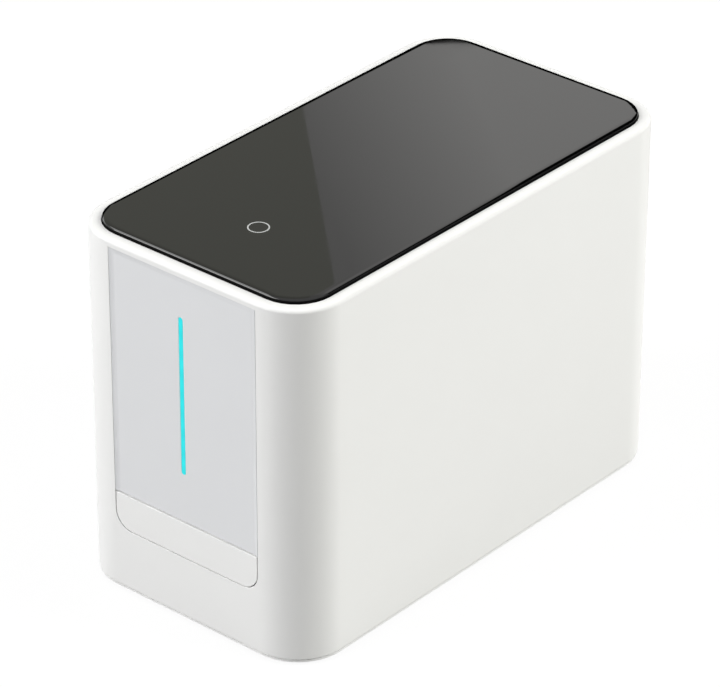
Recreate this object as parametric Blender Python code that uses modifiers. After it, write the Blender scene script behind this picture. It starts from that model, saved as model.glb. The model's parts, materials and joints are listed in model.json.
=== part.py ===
"""A desktop phosphor plate scanner: a white moulded housing with a black glass top, a grey front panel
with a light bar, and a plate tray that a rack and pinion drives out of the front.

Metres, +Z up. The front faces -Y, X runs across, and the floor is z = 0 under the middle of the housing."""

import math

import bmesh
import bpy
from mathutils import Matrix, Vector

# Shared by every piece
seat_gap = 0.0003
cut_overrun = 0.0020
weld_distance = 0.000001
screw_merge = 0.00001
sharp_angle = math.radians(32)
corner_steps = 8
small_steps = 4
slot_steps = 2
round_steps = 32
pin_steps = 16

# Housing: outside sizes, from its bottom edge to its rim
housing_width = 0.1103
housing_length = 0.2062
housing_height = 0.1417
housing_corner_radius = 0.0202
rim_round = 0.0014
rim_round_steps = 3
bottom_round = 0.0008
bottom_round_steps = 2
wall = 0.0026
deck_thickness = 0.0020
foot_stand = 0.0020

# Glass top and what lies under it
glass_inset = 0.0050
glass_corner_radius = 0.0148
glass_thickness = 0.0030
glass_proud = 0.0017
glass_edge_width = 0.0022
glass_edge_drop = 0.0007
glass_edge_steps = 4
adhesive_thickness = 0.0005
adhesive_width = 0.0060
touch_from_front = 0.0390
touch_board_size = 0.0280
touch_cable_width = 0.0120
touch_cable_length = 0.0050

# Front window, its panel and its light bar
window_side = 0.0210
window_sill = 0.0247
window_corner_radius = 0.0075
window_top_strip = 0.0027
panel_recess = 0.0005
panel_tongue = 0.0008
flange_thickness = 0.0016
flange_reach = 0.0030
light_bar_width = 0.0018
light_bar_left_of_middle = 0.0009
light_bar_above_edge = 0.0594
light_bar_below_rim = 0.0189
light_bar_fit = 0.0001
light_board_width = 0.0120
light_board_margin = 0.0050
circuit_thickness = 0.0012

# Plate tray
tray_front_height = 0.0144
tray_front_gap = 0.0004
tray_below_front_top = 0.0017
tray_side = 0.00265
tray_before_board = 0.0164
tray_thickness = 0.0080
tray_kept_in = 0.0322
plate_side = 0.0020
plate_before_rear = 0.0358
plate_depth = 0.0050
plate_corner_radius = 0.0030
plate_set_back = 0.0104
thumb_radius = 0.0090
tongue_reach = 0.0014
tongue_height = 0.0024

# Rails
rail_width = 0.0070
rail_above_tray = 0.0010
rail_set_back = 0.0020
rail_arch_width = 0.0240
rail_arch_height = 0.0160
rail_arch_radius = 0.0030
rail_arch_count = 3
rail_foot_height = 0.0030

# Rack, drive gear and motor pinion
tooth_module = 0.0010
pressure_angle = math.radians(20)
root_depth_share = 1.25
tooth_thinning = 0.00025
flank_steps = 2
gear_teeth = 20
pinion_teeth = 14
gear_width = 0.0050
gear_side_gap = 0.0006
gear_hub_radius = 0.0040
gear_rim_width = 0.0018
gear_web_thickness = 0.0020
rack_back = 0.0016
rack_from_middle = 0.0160
rack_lead = 0.0050
gear_from_front = 0.0211
axle_radius = 0.0015
axle_fit = 0.00015
axle_end = 0.0010
shaft_radius = 0.0010
bracket_sheet = 0.0012
bracket_height = 0.0190
bracket_margin = 0.0110
motor_radius = 0.0100
motor_length = 0.0160
motor_nose_radius = 0.0035
motor_nose_length = 0.0010
motor_bore_depth = 0.0060

# Base plate, feet and screws
base_thickness = 0.0025
foot_radius = 0.0070
foot_sink = 0.0010
foot_chamfer = 0.0005
foot_inset_x = 0.0190
foot_inset_y = 0.0260
boss_inset = 0.0114
boss_radius = 0.0040
boss_height = 0.0250
rib_thickness = 0.0020
screw_radius = 0.0015
screw_length = 0.0100
screw_head_radius = 0.0030
screw_head_height = 0.0016
intake_count = 6
intake_length = 0.0360
intake_width = 0.0025
intake_pitch = 0.0060
intake_from_front = 0.0590

# Scan hood and head plate
hood_past_tray = 0.0045
hood_past_plate = 0.0043
hood_from_wall = 0.0050
hood_collar = 0.0050
hood_draw_in = 0.0140
hood_draw_back = 0.0240
hood_wall = 0.0016
head_thickness = 0.0030
head_past_hood = 0.0010
head_room = 0.0239
head_shift = 0.0080
beam_hole_width = 0.0260
beam_hole_length = 0.0300

# Laser, mirrors and galvanometers
beam_height = 0.0110
mirror_from_side = 0.0110
mirror_behind_middle = 0.0035
laser_radius = 0.0060
laser_length = 0.0420
laser_lens_radius = 0.0030
laser_lens_depth = 0.0020
laser_distance = 0.0180
mount_width = 0.0160
mount_length = 0.0200
galvo_radius = 0.0060
galvo_length = 0.0240
galvo_bore_depth = 0.0050
galvo_collar_radius = 0.0075
galvo_collar_height = 0.0015
mirror_width = 0.0100
mirror_height = 0.0100
mirror_thickness = 0.0012
mirror_shaft_radius = 0.0012
mirror_shaft_length = 0.0080

# Light detector and eraser lamps
filter_radius = 0.0120
detector_radius = 0.0140
detector_length = 0.0520
detector_collar = 0.0012
detector_collar_length = 0.0100
detector_rise_share = 0.52
stand_width = 0.0360
stand_thickness = 0.0080
stand_behind_tray = 0.0018
eraser_from_front = 0.0040
eraser_height = 0.0080
eraser_rise_share = 0.25

# Main board and what it carries
board_from_boss = 0.00175
board_length = 0.0575
board_thickness = 0.0016
board_stand = 0.0068
board_hole_inset = 0.0050
standoff_radius = 0.0030
chip_size = 0.0160
chip_height = 0.0014
chip_gap = 0.0020
header_width = 0.0240
header_length = 0.0060
header_height = 0.0070
supply_width = 0.0240
supply_length = 0.0320
supply_height = 0.0140
supply_corner_radius = 0.0020

# Rear window, rear panel and its sockets
rear_window_side = 0.02215
rear_window_height = 0.0280
rear_window_sill = 0.0065
rear_corner_radius = 0.0030
rear_panel_thickness = 0.0020
rear_gap_shares = (0.5, 0.2, 0.2, 0.1)
usb_width = 0.0098
usb_height = 0.0042
usb_depth = 0.0090
usb_shell = 0.0004
usb_tongue_width = 0.0064
usb_tongue_thickness = 0.0007
usb_back = 0.0010
inlet_width = 0.0090
inlet_height = 0.0110
inlet_depth = 0.0140
inlet_hole_radius = 0.0032
inlet_hole_depth = 0.0100
inlet_pin_radius = 0.0010
inlet_pin_set_back = 0.0010
inlet_corner_radius = 0.0010
switch_height = 0.0200
switch_body_width = 0.0186
switch_body_height = 0.0126
switch_body_depth = 0.0120
switch_flange_reach = 0.0015
switch_flange_thickness = 0.0012
switch_corner_radius = 0.0010
rocker_radius = 0.0075
rocker_height = 0.0090
rocker_depth = 0.0025
rocker_notch = 0.0014
rocker_tilt = math.radians(9)
rocker_end_angle = math.radians(22)
rocker_pin_radius = 0.0012
rocker_pin_reach = 0.0008
rocker_below_flange = 0.0026

# Fan and vents
fan_size = 0.0400
fan_thickness = 0.0100
fan_corner_radius = 0.0030
fan_below_rim = 0.0517
fan_bore_radius = 0.0184
fan_hub_radius = 0.0090
fan_hub_length = 0.0064
fan_seat_thickness = 0.0015
fan_strut_width = 0.0020
fan_strut_count = 3
blade_count = 5
blade_chord = 0.0085
blade_thickness = 0.0010
blade_tip_gap = 0.0006
blade_pitch = math.radians(38)
vent_count = 8
vent_width = 0.0340
vent_height = 0.0022
vent_pitch = 0.0046

# Heights and faces that several pieces share
front_y = -housing_length / 2
rear_y = housing_length / 2
inner_front_y = front_y + wall
inner_rear_y = rear_y - wall
housing_bottom = foot_stand
rim_z = housing_bottom + housing_height
glass_top_z = rim_z + glass_proud
glass_under_z = glass_top_z - glass_thickness
recess_floor_z = glass_under_z - 2 * seat_gap - adhesive_thickness
deck_under_z = recess_floor_z - deck_thickness
glass_width = housing_width - 2 * glass_inset
glass_length = housing_length - 2 * glass_inset
touch_y = front_y + touch_from_front
base_top_z = housing_bottom + base_thickness
floor_z = base_top_z + seat_gap

window_width = housing_width - 2 * window_side
window_bottom_z = housing_bottom + window_sill
window_top_z = rim_z - window_top_strip
tray_front_bottom_z = window_bottom_z + tray_front_gap
tray_front_top_z = tray_front_bottom_z + tray_front_height
panel_bottom_z = tray_front_top_z + tray_front_gap
panel_y = front_y + panel_recess
flange_y = inner_front_y + seat_gap
flange_back_y = flange_y + flange_thickness
light_bar_bottom_z = housing_bottom + light_bar_above_edge
light_bar_top_z = rim_z - light_bar_below_rim
light_bar_length = light_bar_top_z - light_bar_bottom_z
light_bar_z = (light_bar_top_z + light_bar_bottom_z) / 2
light_bar_x = -light_bar_left_of_middle

rear_panel_y = inner_rear_y - seat_gap
rear_panel_front_y = rear_panel_y - rear_panel_thickness
board_z = base_top_z + board_stand
board_top_z = board_z + board_thickness
board_width = housing_width - 2 * (boss_inset + boss_radius + board_from_boss)
board_rear_y = rear_panel_front_y - seat_gap
board_front_y = board_rear_y - board_length
board_y = (board_rear_y + board_front_y) / 2

tray_y = inner_front_y + seat_gap
tray_rear_y = board_front_y - tray_before_board
tray_width = window_width - 2 * tray_side
tray_length = tray_rear_y - tray_y
tray_travel = tray_length - tray_kept_in
tray_top_z = tray_front_top_z - tray_below_front_top
tray_z = tray_top_z - tray_thickness / 2
tray_bottom_z = tray_top_z - tray_thickness
rail_top_z = tray_top_z + rail_above_tray
plate_width = tray_width - 2 * plate_side
plate_length = tray_length - plate_set_back - plate_before_rear
plate_rear_y = tray_rear_y - plate_before_rear

rack_root_z = tray_bottom_z - seat_gap - rack_back
pitch_line_z = rack_root_z - root_depth_share * tooth_module
gear_radius = gear_teeth * tooth_module / 2
pinion_radius = pinion_teeth * tooth_module / 2
gear_x = rack_from_middle
gear_y = front_y + gear_from_front
gear_z = pitch_line_z - gear_radius
pinion_z = floor_z + motor_radius
pinion_drop = gear_z - pinion_z
pinion_y = gear_y + math.sqrt((gear_radius + pinion_radius) ** 2 - pinion_drop ** 2)
bracket_inner = gear_width / 2 + gear_side_gap
bracket_outer = bracket_inner + bracket_sheet

hood_front_y = inner_front_y + hood_from_wall
hood_rear_y = plate_rear_y + hood_past_plate
hood_width = tray_width + 2 * hood_past_tray
hood_length = hood_rear_y - hood_front_y
hood_top_width = hood_width - 2 * hood_draw_in
hood_top_length = hood_length - hood_draw_back
hood_bottom_z = rail_top_z + seat_gap
head_top_z = deck_under_z - head_room
head_z = head_top_z - head_thickness
hood_height = head_z - seat_gap - hood_bottom_z
head_width = hood_width + 2 * head_past_hood
head_length = hood_length + 2 * head_past_hood
beam_z = head_top_z + beam_height
mirror_y = (hood_front_y + hood_rear_y) / 2 + mirror_behind_middle
mirror_pair_span = head_width / 2 + head_shift - mirror_from_side
eraser_length = hood_top_length - eraser_from_front
detector_z = hood_bottom_z + detector_rise_share * hood_height
stand_y = tray_rear_y + stand_behind_tray + stand_thickness / 2

# The sockets and the switch share out the room that they leave free across the rear window.
rear_window_width = housing_width - 2 * rear_window_side
switch_flange_width = switch_body_width + 2 * switch_flange_reach
rear_room = rear_window_width - usb_width - inlet_width - switch_flange_width
rear_gaps = [share * rear_room for share in rear_gap_shares]
usb_x = -rear_window_width / 2 + rear_gaps[0] + usb_width / 2
inlet_x = usb_x + usb_width / 2 + rear_gaps[1] + inlet_width / 2
switch_x = inlet_x + inlet_width / 2 + rear_gaps[2] + switch_flange_width / 2
switch_y = rear_panel_y + seat_gap + switch_flange_thickness
rocker_y = switch_y - rocker_below_flange
fan_z = rim_z - fan_below_rim

FACING = {
    "X": Matrix(((0, 0, 1, 0), (1, 0, 0, 0), (0, 1, 0, 0), (0, 0, 0, 1))),
    "Y": Matrix(((1, 0, 0, 0), (0, 0, -1, 0), (0, 1, 0, 0), (0, 0, 0, 1))),
    "Z": Matrix.Identity(4),
}


def clear_scene():
    for obj in list(bpy.data.objects):
        bpy.data.objects.remove(obj, do_unlink=True)


def new_collection(name):
    collection = bpy.data.collections.new(name)
    bpy.context.scene.collection.children.link(collection)
    return collection


def new_material(name, colour, roughness, metallic=0.0):
    material = bpy.data.materials.new(name)
    material.use_nodes = True
    shader = material.node_tree.nodes["Principled BSDF"]
    shader.inputs["Base Color"].default_value = (*colour, 1)
    shader.inputs["Roughness"].default_value = roughness
    shader.inputs["Metallic"].default_value = metallic
    return material


clear_scene()
parts = new_collection("phosphor_plate_scanner")
tools = new_collection("shaping_tools")


# Outlines, each a closed loop of (u, v) points that runs anticlockwise


def arc(centre, radius, start, end, steps):
    sweep = [start + (end - start) * step / steps for step in range(steps + 1)]
    return [(centre[0] + radius * math.cos(a), centre[1] + radius * math.sin(a)) for a in sweep]


def circle_loop(radius, steps=round_steps, centre=(0, 0)):
    return arc(centre, radius, 0, 2 * math.pi, steps)[:-1]


def rounded_loop(width, height, radius, centre=(0, 0), steps=small_steps, square_top=False):
    """A rectangle with round corners. square_top leaves its two upper corners sharp."""
    radii = (radius, 0, 0, radius) if square_top else (radius,) * 4
    signs = ((1, -1), (1, 1), (-1, 1), (-1, -1))
    loop = []
    for quarter, (corner, (side, level)) in enumerate(zip(radii, signs)):
        middle = (
            centre[0] + side * (width / 2 - corner),
            centre[1] + level * (height / 2 - corner),
        )
        start = (quarter - 1) * math.pi / 2
        loop += arc(middle, corner, start, start + math.pi / 2, steps) if corner else [middle]
    spread = zip(loop, loop[-1:] + loop[:-1])
    return [point for point, before in spread if math.dist(point, before) > weld_distance]


def involute(angle):
    return math.tan(angle) - angle


def gear_loop(teeth, phase):
    """Involute teeth; phase is the direction of the middle of the first tooth."""
    pitch = teeth * tooth_module / 2
    base = pitch * math.cos(pressure_angle)
    tip = pitch + tooth_module
    root = pitch - root_depth_share * tooth_module
    half_tooth = (math.pi * tooth_module / 2 - tooth_thinning) / (2 * pitch)
    foot = max(base, root)
    flank = []
    for step in range(flank_steps + 1):
        radius = foot + (tip - foot) * step / flank_steps
        flank.append((radius, half_tooth + involute(pressure_angle) - involute(math.acos(base / radius))))
    flank.insert(0, (root, flank[0][1]))
    loop = []
    for tooth in range(teeth):
        middle = phase + 2 * math.pi * tooth / teeth
        rising = [(radius, middle - half) for radius, half in flank]
        falling = [(radius, middle + half) for radius, half in reversed(flank)]
        loop += [(radius * math.cos(a), radius * math.sin(a)) for radius, a in rising + falling]
    return loop


def rack_loop(first_y, count):
    """Teeth that point down from a straight back, along Y, measured from the pitch line."""
    spacing = math.pi * tooth_module
    addendum = tooth_module
    dedendum = root_depth_share * tooth_module
    half = (spacing / 2 - tooth_thinning) / 2
    tip_half = half - addendum * math.tan(pressure_angle)
    root_half = half + dedendum * math.tan(pressure_angle)
    last_y = first_y + spacing * count
    loop = [(last_y, dedendum + rack_back), (first_y, dedendum + rack_back), (first_y, dedendum)]
    for tooth in range(count):
        middle = first_y + spacing * (tooth + 1 / 2)
        loop += [
            (middle - root_half, dedendum),
            (middle - tip_half, -addendum),
            (middle + tip_half, -addendum),
            (middle + root_half, dedendum),
        ]
    return loop + [(last_y, dedendum)]


# Shapes, each returned as a bmesh about its own origin


def flat(loops, thickness, facing):
    """Loops filled as one flat outline, inner loops as holes, thickened about their plane."""
    curve = bpy.data.curves.new("outline", "CURVE")
    curve.dimensions = "2D"
    curve.fill_mode = "BOTH"
    curve.extrude = thickness / 2
    for loop in loops:
        spline = curve.splines.new("POLY")
        spline.points.add(len(loop) - 1)
        for point, (u, v) in zip(spline.points, loop):
            point.co = (u, v, 0, 1)
        spline.use_cyclic_u = True
    guide = bpy.data.objects.new("outline", curve)
    tools.objects.link(guide)
    graph = bpy.context.evaluated_depsgraph_get()
    mesh = bpy.data.meshes.new_from_object(guide.evaluated_get(graph))
    bm = bmesh.new()
    bm.from_mesh(mesh)
    bmesh.ops.remove_doubles(bm, verts=bm.verts, dist=weld_distance)
    bmesh.ops.recalc_face_normals(bm, faces=bm.faces)
    bm.transform(FACING[facing])
    bpy.data.objects.remove(guide)
    bpy.data.curves.remove(curve)
    bpy.data.meshes.remove(mesh)
    return bm


def block(width, length, height, radius=0, axis=2, steps=small_steps):
    """A box; the four edges along the axis are rounded where a radius is given."""
    bm = bmesh.new()
    bmesh.ops.create_cube(bm, size=1, matrix=Matrix.Diagonal((width, length, height, 1)))
    if radius:
        edges = [e for e in bm.edges if abs((e.verts[0].co - e.verts[1].co).normalized()[axis]) > 1 / 2]
        bmesh.ops.bevel(
            bm, geom=edges, offset=radius, offset_type="OFFSET", segments=steps, profile=0.5, affect="EDGES"
        )
    return bm


def rod(radius, length, facing, steps=pin_steps):
    bm = bmesh.new()
    bmesh.ops.create_cone(
        bm,
        cap_ends=True,
        segments=steps,
        radius1=radius,
        radius2=radius,
        depth=length,
        matrix=FACING[facing],
    )
    return bm


def bevel_level(bm, level, width, steps):
    """Rounds or chamfers the edges that lie in one horizontal plane."""
    edges = [e for e in bm.edges if all(abs(v.co.z - level) < weld_distance for v in e.verts)]
    bmesh.ops.bevel(
        bm, geom=edges, offset=width, offset_type="OFFSET", segments=steps, profile=0.5, affect="EDGES"
    )


def merged(shapes):
    """Several (bmesh, place) pairs as one bmesh of separate bodies."""
    whole = bmesh.new()
    for bm, place in shapes:
        bm.transform(place if isinstance(place, Matrix) else Matrix.Translation(place))
        mesh = bpy.data.meshes.new("merged")
        bm.to_mesh(mesh)
        bm.free()
        whole.from_mesh(mesh)
        bpy.data.meshes.remove(mesh)
    return whole


# Objects


def mesh_object(name, bm, location, collection):
    mesh = bpy.data.meshes.new(name)
    bm.to_mesh(mesh)
    bm.free()
    obj = bpy.data.objects.new(name, mesh)
    obj.location = location
    collection.objects.link(obj)
    return obj


def piece(name, bm, location, material, parent=None):
    """A named part of the scanner; location is in the world, whatever its parent."""
    obj = mesh_object(name, bm, location, parts)
    obj.data.materials.append(material)
    obj.data.shade_smooth()
    obj.data.set_sharp_from_angle(angle=sharp_angle)
    if parent:
        obj.parent = parent
        obj.location = Vector(location) - parent.location
    return obj


def turned(name, profile, location, facing, material, steps=round_steps, collection=None):
    """A profile of (radius, height) points, from top to bottom, turned about the facing axis."""
    mesh = bpy.data.meshes.new(name)
    points = [(radius, 0, height) for radius, height in profile]
    mesh.from_pydata(points, [(i, i + 1) for i in range(len(points) - 1)], [])
    obj = bpy.data.objects.new(name, mesh)
    obj.location = location
    obj.rotation_euler = FACING[facing].to_euler()
    (collection or parts).objects.link(obj)
    screw = obj.modifiers.new("turn", "SCREW")
    screw.axis = "Z"
    screw.steps = steps
    screw.render_steps = steps
    screw.use_merge_vertices = True
    screw.merge_threshold = screw_merge
    screw.use_smooth_shade = True
    if material:
        mesh.materials.append(material)
    return obj


def as_tool(obj):
    obj.hide_render = True
    obj.display_type = "WIRE"
    return obj


def tool(name, bm, location=(0, 0, 0)):
    return as_tool(mesh_object(name, bm, location, tools))


def boolean(obj, other, operation):
    modifier = obj.modifiers.new(other.name, "BOOLEAN")
    modifier.operation = operation
    modifier.solver = "EXACT"
    modifier.object = other


def cut(obj, *others):
    for other in others:
        boolean(obj, other, "DIFFERENCE")


def join(obj, *others):
    for other in others:
        boolean(obj, other, "UNION")


def empty(name, location):
    obj = bpy.data.objects.new(name, None)
    obj.location = location
    parts.objects.link(obj)
    return obj


def corners(x, y):
    return [(side * x, end * y) for end in (-1, 1) for side in (-1, 1)]


white_moulding = new_material("white moulding", (0.82, 0.82, 0.80), 0.35)
black_glass = new_material("black glass", (0.012, 0.012, 0.012), 0.06)
grey_panel = new_material("grey panel", (0.68, 0.69, 0.70), 0.45)
cyan_light = new_material("cyan light guide", (0.05, 0.80, 0.84), 0.30)
dark_moulding = new_material("dark moulding", (0.03, 0.03, 0.035), 0.55)
black_rubber = new_material("black rubber", (0.02, 0.02, 0.02), 0.80)
steel = new_material("steel", (0.55, 0.55, 0.57), 0.30, 1.0)
aluminium = new_material("aluminium", (0.70, 0.70, 0.72), 0.35, 1.0)
brass = new_material("brass", (0.72, 0.52, 0.22), 0.35, 1.0)
acetal = new_material("acetal", (0.80, 0.79, 0.74), 0.45)
circuit = new_material("green circuit board", (0.02, 0.16, 0.07), 0.45)
blue_filter = new_material("blue filter glass", (0.05, 0.12, 0.55), 0.08)
mirror_silver = new_material("mirror silver", (0.90, 0.90, 0.92), 0.03, 1.0)
adhesive = new_material("adhesive", (0.10, 0.10, 0.10), 0.70)


# Housing


def sill_loop(margin, bottom, top):
    """The front window's outline: round lower corners, sharp upper ones, in by a margin at the sides."""
    width = window_width - 2 * margin
    radius = window_corner_radius - margin
    return rounded_loop(width, top - bottom, radius, (0, (top + bottom) / 2), corner_steps, square_top=True)


def vent_slots():
    first = fan_z - vent_pitch * (vent_count - 1) / 2
    return [
        rounded_loop(vent_width, vent_height, vent_height / 2, (0, first + vent_pitch * row), slot_steps)
        for row in range(vent_count)
    ]


def build_housing():
    middle_z = housing_bottom + housing_height / 2
    outer = block(housing_width, housing_length, housing_height, housing_corner_radius, steps=corner_steps)
    bevel_level(outer, housing_height / 2, rim_round, rim_round_steps)
    bevel_level(outer, -housing_height / 2, bottom_round, bottom_round_steps)
    housing = piece("housing", outer, (0, 0, middle_z), white_moulding)

    cavity_height = deck_under_z - housing_bottom + cut_overrun
    cavity = block(
        housing_width - 2 * wall,
        housing_length - 2 * wall,
        cavity_height,
        housing_corner_radius - wall,
        steps=corner_steps,
    )
    cut(housing, tool("cavity", cavity, (0, 0, deck_under_z - cavity_height / 2)))

    boss_z = floor_z + boss_height / 2
    boss_places = corners(housing_width / 2 - boss_inset, housing_length / 2 - boss_inset)
    bosses = merged([(rod(boss_radius, boss_height, "Z"), (x, y, boss_z)) for x, y in boss_places])
    # Each rib runs from its boss to the middle of the wall in the corner.
    wall_middle = housing_corner_radius - wall / 2
    rib_length = wall_middle - math.sqrt(2) * (housing_corner_radius - boss_inset)
    rib_shift = rib_length / math.sqrt(8)
    ribs = merged([
        (
            block(rib_length, rib_thickness, boss_height),
            Matrix.Translation((x + math.copysign(rib_shift, x), y + math.copysign(rib_shift, y), boss_z))
            @ Matrix.Rotation(math.atan2(y / abs(y), x / abs(x)), 4, "Z"),
        )
        for x, y in boss_places
    ])
    join(housing, tool("bosses", bosses), tool("boss_ribs", ribs))
    bore_depth = screw_length + cut_overrun
    bores = tool("boss_bores", merged([
        (rod(screw_radius + seat_gap, bore_depth, "Z"), (x, y, floor_z - cut_overrun + bore_depth / 2))
        for x, y in boss_places
    ]))

    recess_height = rim_z - recess_floor_z + cut_overrun
    recess = block(
        glass_width + 2 * seat_gap,
        glass_length + 2 * seat_gap,
        recess_height,
        glass_corner_radius + seat_gap,
        steps=corner_steps,
    )
    cable_slot = block(touch_cable_width, touch_cable_length, 2 * deck_thickness + cut_overrun)
    window_depth = wall + 2 * seat_gap + panel_tongue + cut_overrun
    window = flat([sill_loop(0, window_bottom_z, window_top_z)], window_depth, "Y")
    rear_outline = rounded_loop(rear_window_width, rear_window_height, rear_corner_radius)
    rear_window = flat([rear_outline], wall + 2 * cut_overrun, "Y")
    vents = flat(vent_slots(), wall + 2 * cut_overrun, "Y")
    cut(
        housing,
        bores,
        tool("glass_recess", recess, (0, 0, recess_floor_z + recess_height / 2)),
        tool("touch_cable_slot", cable_slot, (0, touch_y, recess_floor_z - deck_thickness / 2)),
        tool("front_window", window, (0, front_y - cut_overrun + window_depth / 2, 0)),
        tool("rear_window", rear_window, (0, rear_y - wall / 2, rear_window_z())),
        tool("rear_vents", vents, (0, rear_y - wall / 2, 0)),
    )


def rear_window_z():
    return housing_bottom + rear_window_sill + rear_window_height / 2


def build_glass():
    # The edge rolls off along a quarter of an ellipse: a taller plate is rounded evenly, then pressed flat.
    tallness = glass_edge_width / glass_edge_drop
    tall = glass_thickness * tallness
    plate = block(glass_width, glass_length, tall, glass_corner_radius, steps=corner_steps)
    bevel_level(plate, tall / 2, glass_edge_width, glass_edge_steps)
    bmesh.ops.scale(plate, verts=plate.verts, vec=(1, 1, 1 / tallness))
    piece("glass_top", plate, (0, 0, glass_top_z - glass_thickness / 2), black_glass)

    width = glass_width - 2 * seat_gap
    length = glass_length - 2 * seat_gap
    radius = glass_corner_radius - seat_gap
    inner = rounded_loop(
        width - 2 * adhesive_width, length - 2 * adhesive_width, radius - adhesive_width, steps=corner_steps
    )
    frame = flat([rounded_loop(width, length, radius, steps=corner_steps), inner], adhesive_thickness, "Z")
    level = recess_floor_z + seat_gap + adhesive_thickness / 2
    piece("glass_adhesive", frame, (0, 0, level), adhesive)
    board = block(touch_board_size, touch_board_size, adhesive_thickness, seat_gap)
    piece("touch_board", board, (0, touch_y, level), circuit)


# Front panel and light bar


def bar_loop(width, length):
    return rounded_loop(width, length, width / 2)


def build_front_panel():
    face_back_y = flange_y + panel_tongue
    face_top_z = window_top_z - seat_gap
    face = block(window_width - 2 * seat_gap, face_back_y - panel_y, face_top_z - panel_bottom_z)
    panel = piece(
        "front_panel", face, (0, (face_back_y + panel_y) / 2, (face_top_z + panel_bottom_z) / 2), grey_panel
    )
    flange_top_z = deck_under_z - seat_gap
    flange = block(window_width + 2 * flange_reach, flange_thickness, flange_top_z - panel_bottom_z)
    flange_middle = (0, flange_y + flange_thickness / 2, (flange_top_z + panel_bottom_z) / 2)
    join(panel, tool("panel_flange", flange, flange_middle))

    slot_depth = flange_back_y - panel_y + 2 * cut_overrun
    play = 2 * light_bar_fit
    slot = flat([bar_loop(light_bar_width + play, light_bar_length + play)], slot_depth, "Y")
    cut(panel, tool("light_slot", slot, (light_bar_x, (flange_back_y + panel_y) / 2, light_bar_z)))

    bar = flat([bar_loop(light_bar_width, light_bar_length)], flange_back_y - panel_y, "Y")
    piece("light_bar", bar, (light_bar_x, (flange_back_y + panel_y) / 2, light_bar_z), cyan_light)
    board = block(light_board_width, circuit_thickness, light_bar_length + 2 * light_board_margin)
    board_y = flange_back_y + seat_gap + circuit_thickness / 2
    piece("light_board", board, (light_bar_x, board_y, light_bar_z), circuit)


# Plate tray, rails and drive


def build_tray():
    carriage = empty("tray_carriage", (0, front_y, tray_z))
    lip = flat([sill_loop(tray_front_gap, tray_front_bottom_z, tray_front_top_z)], wall, "Y")
    piece("tray_front", lip, (0, front_y + wall / 2, 0), white_moulding, carriage)

    middle = (0, tray_y + tray_length / 2, tray_z)
    plate = block(tray_width, tray_length, tray_thickness)
    tray = piece("plate_tray", plate, middle, dark_moulding, carriage)
    tongues = block(tray_width + 2 * tongue_reach, tray_length, tongue_height)
    join(tray, tool("tray_tongues", tongues, middle))
    pocket_y = tray_y + plate_set_back
    depth = plate_depth + cut_overrun
    pocket = block(plate_width, plate_length, depth, plate_corner_radius)
    pocket_z = tray_top_z - plate_depth + depth / 2
    thumb = rod(thumb_radius, depth, "Z", round_steps)
    cut(
        tray,
        tool("plate_pocket", pocket, (0, pocket_y + plate_length / 2, pocket_z)),
        tool("thumb_notch", thumb, (0, pocket_y + plate_length, pocket_z)),
    )

    spacing = math.pi * tooth_module
    front_teeth = math.ceil(rack_lead / spacing)
    rear_teeth = math.ceil((tray_travel + rack_lead) / spacing)
    first_y = -spacing * front_teeth
    rack = flat([rack_loop(first_y, front_teeth + rear_teeth)], gear_width, "X")
    piece("tray_rack", rack, (gear_x, gear_y, pitch_line_z), acetal, carriage)


def build_rail(name, side):
    inner_x = tray_width / 2 + seat_gap
    height = rail_top_z - floor_z
    length = tray_length - rail_set_back
    rail_x = side * (inner_x + rail_width / 2)
    rail_y = tray_rear_y - length / 2
    rail = piece(name, block(rail_width, length, height), (rail_x, rail_y, floor_z + height / 2), acetal)
    groove_width = tongue_reach + seat_gap + cut_overrun
    groove = block(groove_width, length + 2 * cut_overrun, tongue_height + 2 * seat_gap)
    groove_x = side * (inner_x + tongue_reach + seat_gap - groove_width / 2)
    cut(rail, tool(name + "_groove", groove, (groove_x, rail_y, tray_z)))
    pitch = length / rail_arch_count
    arch_z = floor_z + rail_foot_height + rail_arch_height / 2
    arches = merged([
        (
            block(
                rail_width + 2 * cut_overrun, rail_arch_width, rail_arch_height, rail_arch_radius, axis=0
            ),
            (rail_x, tray_rear_y - pitch * (arch + 1 / 2), arch_z),
        )
        for arch in range(rail_arch_count)
    ])
    cut(rail, tool(name + "_arches", arches))


def mesh_phase():
    """The pinion's tooth direction that puts a gap of it on the gear's tooth near the line of centres."""
    towards_pinion = math.atan2(-pinion_drop, pinion_y - gear_y)
    spacing = 2 * math.pi / gear_teeth
    offset = (math.pi / 2 - towards_pinion) % spacing
    gap = towards_pinion + math.pi - offset * gear_teeth / pinion_teeth
    return gap + math.pi / pinion_teeth


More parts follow.
